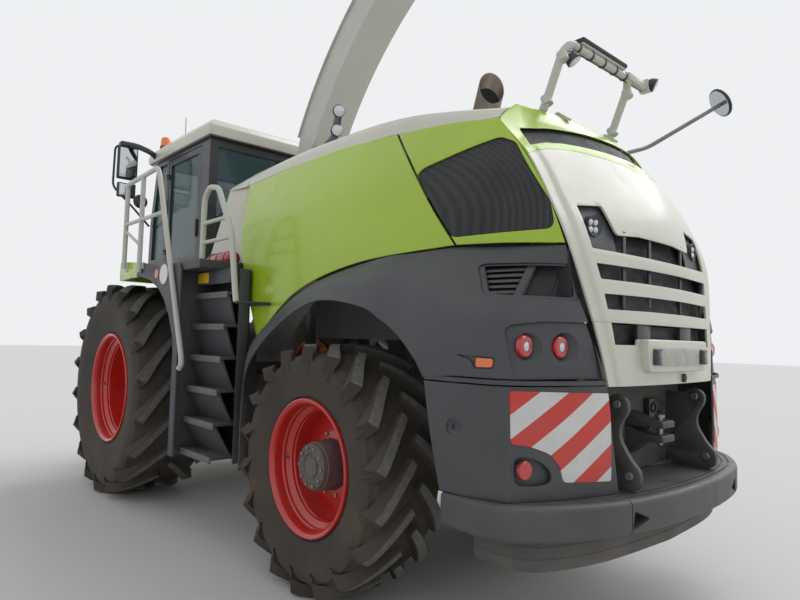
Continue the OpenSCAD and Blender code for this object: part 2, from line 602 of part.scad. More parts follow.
module corner_panel() {
    color(dark) difference() {
        union() {
            difference() {
                sheet([
                    [[-3984, 944, 2002], [-3976, 1106, 1800], [-3890, 1203, 1490], [-4010, 1212, 1322]],
                    [[-4150, 912, 1992], [-4160, 1090, 1760], [-4180, 1190, 1500], [-4220, 1200, 1316]],
                    [[-4380, 860, 1982], [-4400, 1020, 1760], [-4440, 1130, 1500], [-4470, 1140, 1316]],
                    [[-4500, 822, 1978], [-4540, 880, 1760], [-4590, 900, 1500], [-4610, 880, 1316]],
                    [[-4546, 806, 1978], [-4580, 760, 1760], [-4640, 690, 1500], [-4664, 626, 1316]]], -panel_t, 10, 6);
                for (p = tail_lamps) lamp_place(p) translate([0, 0, -60]) cylinder(h = 120, r = lamp_r + 20);
            }
            for (p = tail_lamps) lamp_place(p) lamp_cup();
        }
        side_plate(vent, 640, 1250);
    }
    // Strap that joins the upper panel to the lower one
    color(dark) block([-4330, 1150, 1260], [-4290, 1180, 1360]);
    color(dark) sheet([
        [[-4015, 1212, 1308], [-4066, 1212, 1060], [-4130, 1205, step_top_z + seat_gap]],
        [[-4220, 1200, 1308], [-4250, 1200, 1060], [-4280, 1195, step_top_z + seat_gap]],
        [[-4470, 1140, 1308], [-4480, 1140, 1060], [-4480, 1135, step_top_z + seat_gap]],
        [[-4610, 880, 1308], [-4620, 870, 1060], [-4625, 860, step_top_z + seat_gap]],
        [[-4664, 626, 1308], [-4680, 600, 1060], [-4690, 560, step_top_z + seat_gap]]], -panel_t, 8, 2);
}
// Middles of the left tail lamps' cups on the panel's outer face, the way that they look, and the vent's outline
tail_lamps = [[-4498, 1056, 1490], [-4586, 906, 1490]];
lamp_turn = -33;
lamp_r = 52;
lamp_deep = 38;
vent = [[-4596, 1712], [-4190, 1704], [-4196, 1880], [-4578, 1884]];
module lamp_place(p) { translate(p) rotate([0, -90, lamp_turn]) children(); }
// A cup that holds a lamp, its mouth wider than its floor
module lamp_cup() {
    rotate_extrude() polygon([[0, -lamp_deep], [lamp_r + 4, -lamp_deep], [lamp_r + 18, 0], [lamp_r + 28, 0],
        [lamp_r + 28, -14], [lamp_r + 14, -lamp_deep - 8], [0, -lamp_deep - 8]]);
}
module corner_panels() { both_sides() corner_panel(); }
module vent_fins() {
    // Each fin follows the panel, and the fins step inwards as it leans
    fin = [[-4200, 1040], [-4400, 968], [-4520, 850], [-4570, 740], [-4540, 730], [-4495, 820], [-4385, 925], [-4200, 1000]];
    color(black) both_sides() union() {
        for (k = [0:5]) let (z = 1718 + k * 30)
            translate([0, -0.72 * (z - 1760), z]) linear_extrude(8) polygon(fin);
        cross_plate([[frame_half_w + seat_gap, 1740], [frame_half_w + seat_gap, 1790], [790, 1884], [850, 1884], [960, 1712], [900, 1706]],
            -4425, -4405);
    }
}

// Cab
module cab_side_outline(inset) {
    polygon([[cab_rear_x + inset, cab_z + inset], [cab_front_x - inset, cab_z + inset],
        [cab_front_x - 20 - inset, cab_z + 600], [cab_front_x - 150 - inset, cab_top_z - inset],
        [cab_rear_x + inset, cab_top_z - inset]]);
}
door_x0 = cab_rear_x + 190;
door_x1 = cab_rear_x + 1000;
door_z0 = cab_z + 60;
door_z1 = cab_top_z - 50;
module cab_shell() {
    w = cab_half_w;
    color(dark) difference() {
        translate([0, w, 0]) rotate([90, 0, 0]) linear_extrude(2 * w) cab_side_outline(0);
        translate([0, w - cab_wall, 0]) rotate([90, 0, 0]) linear_extrude(2 * (w - cab_wall)) cab_side_outline(cab_wall);
        // Door opening on the left, the same window on the right, and the front quarter windows
        block([door_x0, w - cab_wall - 5, door_z0], [door_x1, w + 5, door_z1]);
        block([door_x0, -w - 5, door_z0 + 60], [door_x1, cab_wall + 5 - w, door_z1]);
        both_sides() side_plate([[door_x1 + 60, cab_z + 160], [cab_front_x - 90, cab_z + 160],
            [cab_front_x - 100, cab_z + 600], [cab_front_x - 215, cab_top_z - 70], [door_x1 + 60, cab_top_z - 70]],
            w - cab_wall - 5, w + 5);
        block([cab_front_x - 300, 70 - w, cab_z + 140], [cab_front_x + 20, w - 70, cab_top_z - 70]);
        block([cab_rear_x - 20, 90 - w, cab_z + 500], [cab_rear_x + cab_wall + 10, w - 90, cab_top_z - 90]);
    }
    // Ears of the door's hinges
    color(dark) for (z = door_hinge_z) difference() {
        union() {
            translate([door_hinge[0], door_hinge[1], z]) cylinder(h = 24, r = door_hinge_r);
            block([door_hinge[0] + 4, w - 10, z], [door_hinge[0] + 30, door_hinge[1] + 8, z + 24]);
        }
        translate([door_hinge[0], door_hinge[1], z - 1]) cylinder(h = 26, r = 7 + running_gap);
    }
}
module cab_glass() {
    w = cab_half_w;
    color([0.4, 0.6, 0.6, 0.4]) union() {
        // Rear window, right window, quarter windows and windscreen, set into the frame
        block([cab_rear_x + 20, 90 - w + seat_gap, cab_z + 500 + seat_gap], [cab_rear_x + 20 + glass_t, w - 90 - seat_gap, cab_top_z - 90 - seat_gap]);
        block([door_x0 + seat_gap, -w + 20, door_z0 + 60 + seat_gap], [door_x1 - seat_gap, -w + 20 + glass_t, door_z1 - seat_gap]);
        both_sides() side_plate([[door_x1 + 60 + seat_gap, cab_z + 160 + seat_gap], [cab_front_x - 90 - seat_gap, cab_z + 160 + seat_gap],
            [cab_front_x - 100 - seat_gap, cab_z + 600], [cab_front_x - 215 - seat_gap, cab_top_z - 70 - seat_gap],
            [door_x1 + 60 + seat_gap, cab_top_z - 70 - seat_gap]], w - 20 - glass_t, w - 20);
        side_plate([[cab_front_x - 20, cab_z + 140.3], [cab_front_x - 20 + glass_t, cab_z + 140.3],
            [cab_front_x - 33 + glass_t, cab_z + 600], [cab_front_x - 150 - 14, cab_top_z - 70.3],
            [cab_front_x - 156 - 14, cab_top_z - 70.3], [cab_front_x - 33, cab_z + 600]], 70.3 - w, w - 70.3);
    }
}
module cab_roof() {
    top = cab_top_z + roof_t;
    color(cream) difference() {
        side_plate([[cab_rear_x - 60, cab_top_z], [cab_front_x + 20, cab_top_z], [cab_front_x + 40, cab_top_z + 60],
            [cab_front_x - 60, top - 60], [cab_front_x - 300, top - 15], [0, top], [cab_rear_x, top - 20],
            [cab_rear_x - 60, top - 90]], -cab_half_w - 40, cab_half_w + 40);
        for (k = [-1, 1]) translate([0, k * (cab_half_w + 60), top + 30]) rotate([45, 0, 0])
            cube([3000, 120, 120], center = true);
    }
}
module driver_station() {
    floor_z = cab_z + cab_wall + seat_gap;
    color(black) union() {
        translate([-120, 0, floor_z]) cylinder(h = 300, r = 110);
        block([-330, -250, floor_z + 290], [160, 250, floor_z + 410]);
        side_plate([[-330, floor_z + 400], [-250, floor_z + 400], [-330, floor_z + 1000], [-410, floor_z + 1000]], -230, 230);
    }
    color(black) union() {
        bar([517, 0, floor_z + 20], [430, 0, floor_z + 640], 45);
        block([440, -70, floor_z], [600, 70, floor_z + 30]);
        translate([430, 0, floor_z + 640]) rotate([0, -25, 0]) rotate_extrude() translate([190, 0]) circle(r = 16, $fn = 16);
        translate([430, 0, floor_z + 640]) rotate([0, -25, 0]) block([-190, -14, -8], [190, 14, 8]);
    }
}
// Axis of the door's hinges in X and Y, and the height of each hinge
door_hinge = [door_x1, cab_half_w + 14];
door_hinge_z = [door_z0 + 160, door_z1 - 180];
door_hinge_r = 13;
module cab_door() {
    w = cab_half_w;
    g = 8;
    color(dark) difference() {
        block([door_x0 + g, w - 40, door_z0 + g], [door_x1 - g, w - 2, door_z1 - g]);
        block([door_x0 + g + 55, w - 60, door_z0 + g + 60], [door_x1 - g - 55, w + 10, door_z1 - g - 60]);
    }
    color(dark) bar([door_x0 + g + 28, w + 8, door_z0 + 250], [door_x0 + g + 28, w + 8, door_z0 + 420], 12);
    color(dark) for (z = door_hinge_z) {
        translate([door_hinge[0], door_hinge[1], z - 28]) cylinder(h = 26, r = door_hinge_r);
        translate([door_hinge[0], door_hinge[1], z - 4]) cylinder(h = 28, r = 7);
        block([door_hinge[0] - 44, w - 8, z - 28], [door_hinge[0] - 2, door_hinge[1] + 8, z - 2]);
    }
}
module door_glass() {
    w = cab_half_w;
    g = 63 + seat_gap;
    color([0.4, 0.6, 0.6, 0.4])
        block([door_x0 + g, w - 24, door_z0 + 68 + seat_gap], [door_x1 - g, w - 24 + glass_t, door_z1 - 68 - seat_gap]);
}
module front_fenders() {
    // Outline over a front wheel, in X and Z
    over = [[-470, 2064], [-100, 2110], [300, 2150], [650, 2190], [900, 2130], [1060, 1990],
        [1130, 1820], [1115, 1820], [1046, 1980], [890, 2116], [648, 2174], [300, 2134], [-100, 2094], [-470, 2048]];
    color(dark) both_sides() union() {
        side_plate(over, 840, 1480);
        // Brackets on the cab's posts: place in X and height of the top
        for (q = [[-460, 2052], [130, 2122]]) block([q[0], cab_post_y + seat_gap, q[1] - 60], [q[0] + 50, 900, q[1]]);
    }
}
module platforms() {
    z = platform_z;
    color(dark) both_sides() union() {
        block([-1790, 880, z], [-480, platform_y, z + 70]);
        block([-1480, 960, side_beam_z + seat_gap], [-1400, side_beam_y + 5, z + 5]);
    }
}
platform_z = 2000;
platform_y = 1420;
module boarding_steps() {
    x0 = -2000;
    x1 = -1400;
    y0 = 1080;
    top = platform_z - seat_gap;
    color(dark) union() {
        // Front side plate, whose edge follows the front tyre
        side_plate([[x1, top], [-1180, top], [-1100, 1720], [-1100, 1400], [-1080, 1100], [-1090, 800], [-1150, 560],
            [x1 - 30, 560], [x1 - 30, top]], platform_y - 30, platform_y);
        block([x1 - 30, y0, 560], [x1, platform_y, top]);
        block([x0, y0, 560], [x0 + 20, y0 + 240, top]);
        block([x0, y0, 560], [x1, y0 + 20, top]);
        for (k = [0:4]) block([x0 + 10, y0 + 15, 600 + k * 330], [x1 - 10, y0 + 250, 630 + k * 330]);
        block([-1480, side_beam_y + seat_gap, side_beam_z - 80], [-1400, y0 + 5, side_beam_z]);
    }
}
module side_tank() {
    color(dark) union() {
        side_plate([[-1960, 760], [-1880, 620], [-1300, 620], [-1180, 760], [-1180, 1900], [-1840, 1900], [-1955, 1620]], -1380, -1012);
        translate([-1600, -1200, 1880]) cylinder(h = 60, r = 60);
        block([-1480, -1013, side_beam_z - 80], [-1400, -side_beam_y - seat_gap, side_beam_z]);
    }
}
rail_r = 21;
module handrails() {
    y = platform_y + rail_r + seat_gap;
    hoop_y = y - 100;
    color(cream) union() {
        tube_path([[-240, y, 2096], [-240, y, 2880], [-960, y, 2900], [-1000, y, 2860], [-1640, y, 1300]], rail_r, 30);
        bar([-240, y, 2500], [-1130, y, 2500], rail_r * 0.8);
        bar([-640, y, platform_z + 10], [-640, y, 2890], rail_r);
        tube_path([[-1700, hoop_y, platform_z + 70 + seat_gap], [-1700, hoop_y, 2540], [-1780, hoop_y, 2620],
            [-1930, hoop_y, 2590], [-2170, hoop_y, 2230], [-2250, hoop_y, 1780], [-1990, hoop_y, 1500]], rail_r, 40);
        bar([-1700, hoop_y, 2350], [-2090, hoop_y, 2350], rail_r * 0.7);
        bar([-1700, hoop_y, 2200], [-2175, hoop_y, 2200], rail_r * 0.7);
    }
}
module spout_rest() {
    top = 3235;
    color(cream) tube_path([rest_legs[0], rest_legs[1], [-4235, 376, top - 55], [-4260, 330, top], [-4260, -330, top],
        [-4235, -376, top - 55], [for (k = [0:2]) rest_legs[1][k] * (k == 1 ? -1 : 1)],
        [for (k = [0:2]) rest_legs[0][k] * (k == 1 ? -1 : 1)]], rest_r, 30, [1, 0, 0]);
    color(black) block([-4300, -250, top + rest_r + seat_gap], [-4220, 250, top + rest_r + 30]);
}
module mirrors() {
    under_roof = cab_top_z - seat_gap;
    // Rear face and end of a mirror's arm, and the middle of the mirrors
    rear_x = cab_front_x - 20;
    foot_y = cab_half_w - 20;
    mid_y = cab_half_w + 330;
    color(black) both_sides() {
        tube_path([[rear_x, foot_y, under_roof], [rear_x, foot_y, cab_top_z - 40], [rear_x + 50, mid_y - 150, cab_top_z - 25],
            [rear_x + 20, mid_y, cab_top_z - 40], [rear_x + 20, mid_y, cab_top_z - 470]], 14, 15, [1, 0, 0]);
        block([rear_x, mid_y - 90, cab_top_z - 300], [rear_x + 50, mid_y + 90, cab_top_z - 20]);
        block([rear_x, mid_y - 70, cab_top_z - 520], [rear_x + 50, mid_y + 70, cab_top_z - 330]);
    }
    color(black) tube_path(mirror_arm, mirror_arm_r, 30, [1, 0, 0]);
    color(black) translate(mirror_arm[3] + [0, 0, 14]) rotate([60, 0, 30]) cylinder(h = 24, r = 110, center = true);
}
module lamps() {
    color("orange") both_sides() translate([cab_front_x - 200, cab_half_w - 120, cab_top_z + roof_t - 22]) cylinder(h = 132, r = 60);
    color(red) both_sides() for (p = tail_lamps)
        lamp_place(p) translate([0, 0, -lamp_deep + seat_gap]) cylinder(h = lamp_deep - 8, r = lamp_r);
}
module extinguisher() {
    color(red) translate([-1560, 1000, platform_z + 70 + 62 + seat_gap]) rotate([0, 90, 0]) union() {
        cylinder(h = 420, r = 62);
        translate([0, 0, 415]) cylinder(h = 70, r = 22);
    }
}

// Spout
module spout_collar() {
    color(cream) difference() {
        union() {
            translate([-turret_x, 0, turret_z + seat_gap]) cylinder(h = 60, r = turret_r + 20);
            both_sides() side_plate([[-turret_x - 140, turret_z + 40], [-turret_x + 140, turret_z + 40],
                [-turret_x + 70, pivot_z + 60], [-turret_x - 70, pivot_z + 60]], spout_w / 2 + 6, spout_w / 2 + 26);
            // Arm and pin of the lift cylinder's foot, on the right
            side_plate([[-turret_x + 60, turret_z + 10], [spout_foot[0] - 30, spout_foot[1] - 40],
                [spout_foot[0] + 40, spout_foot[1] - 20], [spout_foot[0] + 10, spout_foot[1] + 45], [-turret_x + 60, turret_z + 60]],
                -spout_cyl_y + 44, -spout_cyl_y + 64);
            y_cylinder(spout_foot[0], spout_foot[1], -spout_cyl_y - 30, -spout_cyl_y + 64, pin_r);
        }
        y_cylinder(-turret_x, pivot_z, -300, 300, 30 + running_gap);
    }
}
arc_x = -turret_x - spout_r * sin(spout_slope);
arc_z = pivot_z - spout_r * cos(spout_slope);
start_turn = 5;
// A point of the spout's arc, at t degrees from its start and off to its upper side
function arc_point(t, off) = [arc_x + (spout_r + off) * sin(spout_slope - t),
    arc_z + (spout_r + off) * cos(spout_slope - t)];
module spout_arc(from, turn) {
    translate([arc_x, 0, arc_z]) rotate([0, spout_slope - 90, 0]) rotate([90, 0, 0])
        rotate([0, 0, from]) rotate_extrude(angle = turn, $fn = 160) translate([spout_r, 0]) children();
}
// Pivot of the flap, near the end of the spout
flap_turn = spout_turn - 0.8;
flap_pin = arc_point(flap_turn, 0);
flap_pin_r = 14;
module spout_boom() {
    d = spout_depth;
    w = spout_w;
    open_from = 0.55 * spout_turn;
    color(cream) difference() {
        union() {
            spout_arc(start_turn, spout_turn - start_turn) difference() {
                union() {
                    square([d, w], center = true);
                    translate([d / 2 - 16, 0]) square([8, w + 40], center = true);
                }
                square([d - 2 * spout_wall, w - 2 * spout_wall], center = true);
            }
            side_plate([arc_point(start_turn + 1, d / 2 - 14), arc_point(start_turn + 1, 14 - d / 2),
                [-turret_x - 75, pivot_z - 20], [-turret_x - 20, pivot_z - 75], [-turret_x + 75, pivot_z - 20],
                [-turret_x + 60, pivot_z + 80]], spout_wall / 2 - w / 2, w / 2 - spout_wall / 2);
            y_cylinder(-turret_x, pivot_z, -w / 2 - 40, w / 2 + 40, 30);
            // Pin of the lift cylinder's rod
            y_cylinder(spout_head[0], spout_head[1], -spout_cyl_y - 24, -w / 2 - 2, pin_r);
            both_sides() y_cylinder(flap_pin[0], flap_pin[1], w / 2 - 4, w / 2 + 28, flap_pin_r);
            side_plate([arc_point(9, 100), arc_point(16, 100), arc_point(14.5, 250), arc_point(10.5, 250)], -w / 2 - 18, 2 - w / 2);
        }
        // The outer part is open below
        spout_arc(open_from, spout_turn) translate([-d / 2 - 20, 2 * spout_wall - w / 2])
            square([60, w - 4 * spout_wall]);
    }
}
module spout_flap() {
    w = spout_w / 2;
    r = spout_r;
    color(cream) difference() {
        translate([arc_x, 0, arc_z]) rotate([0, -(90 - spout_slope) - spout_turn, 0]) union() {
            both_sides() side_plate([[r - 36, -80], [r + 36, -80], [r + 60, 14], [r + 200, 60], [r + 200, 400],
                [r + 150, 430], [r - 60, 330], [r - 60, 14]], w + 24, w + 34);
            block([r + 190, -w - 26, 60], [r + 200, w + 26, 400]);
        }
        y_cylinder(flap_pin[0], flap_pin[1], -w - 60, w + 60, flap_pin_r + running_gap);
    }
}
// A cylinder between two pins in a plane of X and Z at y: its barrel, then its rod
module ram_barrel(foot, head, y, r, rod, len) {
    a = atan2(head[1] - foot[1], head[0] - foot[0]);
    translate([foot[0], y, foot[1]]) rotate([0, -a, 0]) difference() {
        union() {
            translate([30, 0, 0]) rotate([0, 90, 0]) cylinder(h = len - 30, r = r);
            y_cylinder(0, 0, -24, 24, pin_r + 24);
        }
        y_cylinder(0, 0, -30, 30, pin_r + running_gap);
        translate([pin_r + 40, 0, 0]) rotate([0, 90, 0]) cylinder(h = len, r = rod + running_gap);
    }
}
module ram_rod(foot, head, y, rod, len) {
    a = atan2(head[1] - foot[1], head[0] - foot[0]);
    whole = norm(head - foot);
    translate([foot[0], y, foot[1]]) rotate([0, -a, 0]) difference() {
        union() {
            translate([whole - len, 0, 0]) rotate([0, 90, 0]) cylinder(h = len - pin_r - 20, r = rod);
            y_cylinder(whole, 0, -22, 22, pin_r + open_gap + 18);
        }
        y_cylinder(whole, 0, -30, 30, pin_r + open_gap);
    }
}
module spout_barrel() { color(dark) ram_barrel(spout_foot, spout_head, -spout_cyl_y, 38, 22, 640); }
module spout_rod() { color(steel) ram_rod(spout_foot, spout_head, -spout_cyl_y, 22, 700); }

// Intake
module intake_housing() {
    w = intake_half_w;
    x1 = intake_x + intake_l;
    outline = [[intake_x - 45, 1020], [intake_x - 45, 1180], [intake_x + 300, 1420], [x1 - 80, 1420], [x1, 1340], [x1, 700], [x1 - 60, 640], [intake_x + 500, 640], [intake_x + 200, 800]];
    color(lime) difference() {
        union() {
            both_sides() side_plate(outline, w - 16, w);
            side_plate([[intake_x, 1230], [intake_x + 300, 1420], [x1 - 80, 1420], [x1 - 80, 1400], [intake_x + 310, 1400], [intake_x + 10, 1212]], -w, w);
            block([x1 - 30, -w, 640], [x1, w, 700]);
            block([intake_x + 480, -w, 640], [x1 - 20, w, 660]);
            both_sides() y_cylinder(lift_head[0], lift_head[1], w - 16, lift_y + 24, pin_r);
        }
        y_cylinder(intake_x, intake_z, -w - 10, w + 10, 50 + running_gap);
        for (r = roll_places) y_cylinder(r[0], r[1], -w - 10, w + 10, roll_shaft_r + running_gap);
    }
}
module feed_roll(place) {
    w = intake_half_w - 22;
    color(steel) union() {
        y_cylinder(place[0], place[1], -w, w, roll_r);
        y_cylinder(place[0], place[1], -w - 26, w + 26, roll_shaft_r);
        for (k = [0:11]) translate([place[0], 0, place[1]]) rotate([0, k * 30, 0]) block([-6, -w, roll_r - 5], [6, w, roll_r + roll_rib]);
    }
}
module lift_barrels() { color(dark) both_sides() ram_barrel(lift_foot, lift_head, lift_y, 42, 26, 600); }
module lift_rods() { color(steel) both_sides() ram_rod(lift_foot, lift_head, lift_y, 26, 600); }

placed() frame();
placed() engine_block();
placed() front_axle();
placed() rear_axle();
placed() rear_step();
placed() tow_hitch();
placed() hood_top();
placed() rear_fender();  // fender_rear_left
placed() mirror([0, 1, 0]) rear_fender();  // fender_rear_right
placed() corner_panels();
placed() rear_panel();
placed() boarding_steps();
placed() side_tank();
placed() turret_cover();
placed() platforms();
placed() handrails();
placed() front_fenders();
placed() cab_shell();
placed() cab_roof();
placed() cab_glass();
placed() driver_station();
placed() drum_housing();
placed() crop_duct();
placed() exhaust();
placed() spout_rest();
placed() mirrors();
placed() lamps();
placed() extinguisher();
placed() vent_fins();
placed() cab_door();
placed() door_glass();
placed() side_panel();  // side_panel_left
placed() mirror([0, 1, 0]) side_panel();  // side_panel_right
placed() mesh_panel();  // mesh_panel_left
placed() mirror([0, 1, 0]) mesh_panel();  // mesh_panel_right
placed() rear_hood();
placed() spout_collar();
placed() spout_boom();
placed() spout_flap();
placed() spout_barrel();
placed() spout_rod();
placed() intake_housing();
placed() feed_roll(roll_places[0]);  // feed_roll_upper
placed() feed_roll(roll_places[1]);  // feed_roll_lower
placed() lift_barrels();
placed() lift_rods();
placed() knuckle();  // knuckle_left
placed() mirror([0, 1, 0]) knuckle();  // knuckle_right
placed() front_rim();  // rim_front_left
placed() mirror([0, 1, 0]) front_rim();  // rim_front_right
placed() rear_rim();  // rim_rear_left
placed() mirror([0, 1, 0]) rear_rim();  // rim_rear_right
placed() front_tyre();  // tyre_front_left
placed() mirror([0, 1, 0]) front_tyre();  // tyre_front_right
placed() rear_tyre();  // tyre_rear_left
placed() mirror([0, 1, 0]) rear_tyre();  // tyre_rear_right
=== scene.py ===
import math

import bmesh
import bpy
from mathutils import Matrix, Vector


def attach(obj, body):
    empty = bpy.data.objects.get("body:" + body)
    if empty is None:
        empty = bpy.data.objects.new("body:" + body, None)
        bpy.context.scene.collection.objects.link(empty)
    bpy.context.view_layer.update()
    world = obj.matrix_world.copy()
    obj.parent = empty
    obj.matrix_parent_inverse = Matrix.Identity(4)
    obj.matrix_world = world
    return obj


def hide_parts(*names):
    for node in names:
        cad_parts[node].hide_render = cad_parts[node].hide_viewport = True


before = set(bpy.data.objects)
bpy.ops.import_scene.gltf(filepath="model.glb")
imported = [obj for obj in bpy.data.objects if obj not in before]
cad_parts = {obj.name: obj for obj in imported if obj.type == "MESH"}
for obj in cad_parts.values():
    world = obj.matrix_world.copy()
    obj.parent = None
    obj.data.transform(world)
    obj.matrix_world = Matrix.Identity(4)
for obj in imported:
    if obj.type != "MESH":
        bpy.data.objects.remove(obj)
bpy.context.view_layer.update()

# The camera stands low, behind the machine's left rear corner, and looks along its flank.
# The floor is a pale sheet, and a wide soft lamp and the sky light the machine evenly.
eye = Vector((-4.58, 3.34, 1.51))
yaw, pitch, roll = (math.radians(a) for a in (-42.1, 3.6, 1.54))
ahead = Vector((math.cos(pitch) * math.cos(yaw), math.cos(pitch) * math.sin(yaw), math.sin(pitch)))
level = Vector((math.sin(yaw), -math.cos(yaw), 0))
above = level.cross(ahead)
camera = bpy.data.objects.new("camera", bpy.data.cameras.new("camera"))
camera.data.sensor_width = 36
camera.data.lens = 27.63
camera.data.clip_end = 300
turn = Matrix((math.cos(roll) * level + math.sin(roll) * above,
               math.cos(roll) * above - math.sin(roll) * level, -ahead)).transposed()
camera.matrix_world = Matrix.Translation(eye) @ turn.to_4x4()
bpy.context.scene.collection.objects.link(camera)
bpy.context.scene.camera = camera
bpy.context.scene.view_settings.view_transform = "Standard"


def wire(tree, kind, feeds, **settings):
    """Adds a shader node, sets it, and feeds its sockets with values or with other sockets."""
    made = tree.nodes.new("ShaderNode" + kind)
    for key, value in settings.items():
        setattr(made, key, value)
    for key, value in feeds.items():
        if isinstance(value, bpy.types.NodeSocket):
            tree.links.new(value, made.inputs[key])
        else:
            made.inputs[key].default_value = value
    return made


floor_shape = bmesh.new()
bmesh.ops.create_grid(floor_shape, x_segments=4, y_segments=4, size=60)
floor_mesh = bpy.data.meshes.new("studio_floor")
floor_shape.to_mesh(floor_mesh)
floor = bpy.data.objects.new("studio_floor", floor_mesh)
bpy.context.scene.collection.objects.link(floor)
floor_finish = bpy.data.materials.new("studio_floor")
floor_finish.use_nodes = True
floor_finish.node_tree.nodes["Principled BSDF"].inputs["Base Color"].default_value = (.62, .61, .60, 1)
floor_finish.node_tree.nodes["Principled BSDF"].inputs["Roughness"].default_value = .9
floor_mesh.materials.append(floor_finish)
sky = bpy.data.worlds.new("studio_sky")
sky.use_nodes = True
bpy.context.scene.world = sky
sky.node_tree.nodes.clear()
seen = wire(sky.node_tree, "LightPath", {})
through = wire(sky.node_tree, "Math",
               {0: seen.outputs["Is Glossy Ray"], 1: seen.outputs["Is Transmission Ray"]},
               operation="MAXIMUM")
shown = wire(sky.node_tree, "Math", {0: seen.outputs["Is Camera Ray"], 1: through.outputs[0]},
             operation="MAXIMUM")
soft = wire(sky.node_tree, "Background", {"Color": (.93, .96, 1, 1), "Strength": .74})
pale = wire(sky.node_tree, "Background", {"Color": (.86, .87, .89, 1), "Strength": 1})
both = wire(sky.node_tree, "MixShader", {0: shown.outputs[0], 1: soft.outputs[0], 2: pale.outputs[0]})
wire(sky.node_tree, "OutputWorld", {"Surface": both.outputs[0]})
sun = bpy.data.objects.new("soft_lamp", bpy.data.lights.new("soft_lamp", "SUN"))
sun.data.energy = 1.5
sun.data.angle = math.radians(50)
sun.rotation_euler = (math.radians(38), math.radians(-22), math.radians(20))
bpy.context.scene.collection.objects.link(sun)


# Frame, axles and steering knuckles: welded steel with a dark grey paint that road dust has
# dulled, thickest low down and on the faces that look up.
def uneven(tree, scale, low, high, detail=5.0, edge=(.3, .7)):
    """A patchy pattern fixed to the piece, spread from low to high."""
    place = wire(tree, "TexCoord", {}).outputs["Object"]
    noise = wire(tree, "TexNoise", {"Vector": place, "Scale": scale, "Detail": detail, "Roughness": .6})
    return wire(tree, "MapRange", {"Value": noise.outputs[0], "From Min": edge[0], "From Max": edge[1],
                                   "To Min": low, "To Max": high}).outputs[0]


def times(tree, a, b, how="MULTIPLY"):
    """One value by another, or added to it, held between 0 and 1."""
    return wire(tree, "Math", {0: a, 1: b}, operation=how, use_clamp=True).outputs[0]


def painted(name, colour, rough=.42, metal=0.0, coat=0.0, tone=.08, dust=.4, dust_to=1.6,
            dust_tint=(.25, .215, .17), grain=.12, grain_scale=240, chips=0.0,
            chip_tint=(.09, .085, .08), patch=1.6):
    """A coat of paint or moulded plastic: patchy tone, settled dust, small chips and a fine grain."""
    made = bpy.data.materials.new(name)
    made.use_nodes = True
    tree = made.node_tree
    shader = tree.nodes["Principled BSDF"]
    toned = wire(tree, "HueSaturation",
                 {"Color": (*colour, 1), "Value": uneven(tree, patch, 1 - tone, 1 + tone)}).outputs[0]
    if chips:
        chipped = uneven(tree, 46, 0, chips, edge=(.66, .69))
        toned = wire(tree, "MixRGB", {0: chipped, 1: toned, 2: (*chip_tint, 1)}).outputs[0]
    place = wire(tree, "TexCoord", {}).outputs["Object"]
    height = wire(tree, "SeparateXYZ", {"Vector": place}).outputs["Z"]
    low = wire(tree, "MapRange", {"Value": height, "From Min": .2, "From Max": dust_to, "To Min": 1,
                                  "To Max": .12}).outputs[0]
    upward = wire(tree, "SeparateXYZ",
                  {"Vector": wire(tree, "NewGeometry", {}).outputs["Normal"]}).outputs["Z"]
    settled = wire(tree, "MapRange",
                   {"Value": upward, "From Min": .3, "From Max": 1, "To Min": 0, "To Max": .35}).outputs[0]
    amount = times(tree, times(tree, times(tree, low, settled, "ADD"),
                               uneven(tree, 4.5, .15, 1.0, detail=8)), dust)
    dusty = wire(tree, "MixRGB", {0: amount, 1: toned, 2: (*dust_tint, 1)}).outputs[0]
    tree.links.new(dusty, shader.inputs["Base Color"])
    gloss = times(tree, uneven(tree, 9, rough - .07, rough + .07), times(tree, amount, .5), "ADD")
    tree.links.new(gloss, shader.inputs["Roughness"])
    shader.inputs["Metallic"].default_value = metal
    shader.inputs["Coat Weight"].default_value = coat
    shader.inputs["Coat Roughness"].default_value = .12
    fine = wire(tree, "Bump", {"Strength": grain, "Distance": .0015,
                               "Height": uneven(tree, grain_scale, 0, 1)})
    tree.links.new(fine.outputs[0], shader.inputs["Normal"])
    return made


def dress(finish, *nodes):
    """Lays a finish on nodes whose shape is used as it is."""
    for node in nodes:
        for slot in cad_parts[node].material_slots:
            slot.material = finish


chassis_paint = painted("chassis_paint", (.040, .042, .045), rough=.5, dust=.75, dust_to=2.0, chips=.5)
dress(chassis_paint, "frame", "front_axle", "rear_axle", "knuckle_left", "knuckle_right")


# Wheels: lugged radial tyres of black rubber with dust in the hollows and worn grey bar faces,
# on deep red dished rims that ten bolts hold to dark hubs.
front_axle_x = 1.6


def at(x, y, z):
    """A point in millimetres from the front axle's middle, as the drawing counts them."""
    return Vector((x / 1000 + front_axle_x, y / 1000, z / 1000))


def stand_at(x, y, z):
    return Matrix.Translation(at(x, y, z))


def rolled(axis, degrees):
    return Matrix.Rotation(math.radians(degrees), 4, axis)


def flip(mirror):
    """Leaves a left-hand part as it is for 1, and makes it the right-hand one for -1."""
    return Matrix.Diagonal((1, mirror, 1, 1))


def turned(outline, steps=96, ring=False):
    """Turns an outline of radius and place about the Y axis."""
    shape = bmesh.new()
    verts = [shape.verts.new((r / 1000, s / 1000, 0)) for r, s in outline]
    edges = [shape.edges.new(pair) for pair in zip(verts, verts[1:] + (verts[:1] if ring else []))]
    bmesh.ops.spin(shape, geom=verts + edges, axis=(0, 1, 0), cent=(0, 0, 0), angle=math.tau, steps=steps,
                   use_merge=True)
    bmesh.ops.remove_doubles(shape, verts=shape.verts, dist=1e-5)
    bmesh.ops.recalc_face_normals(shape, faces=shape.faces)
    return shape


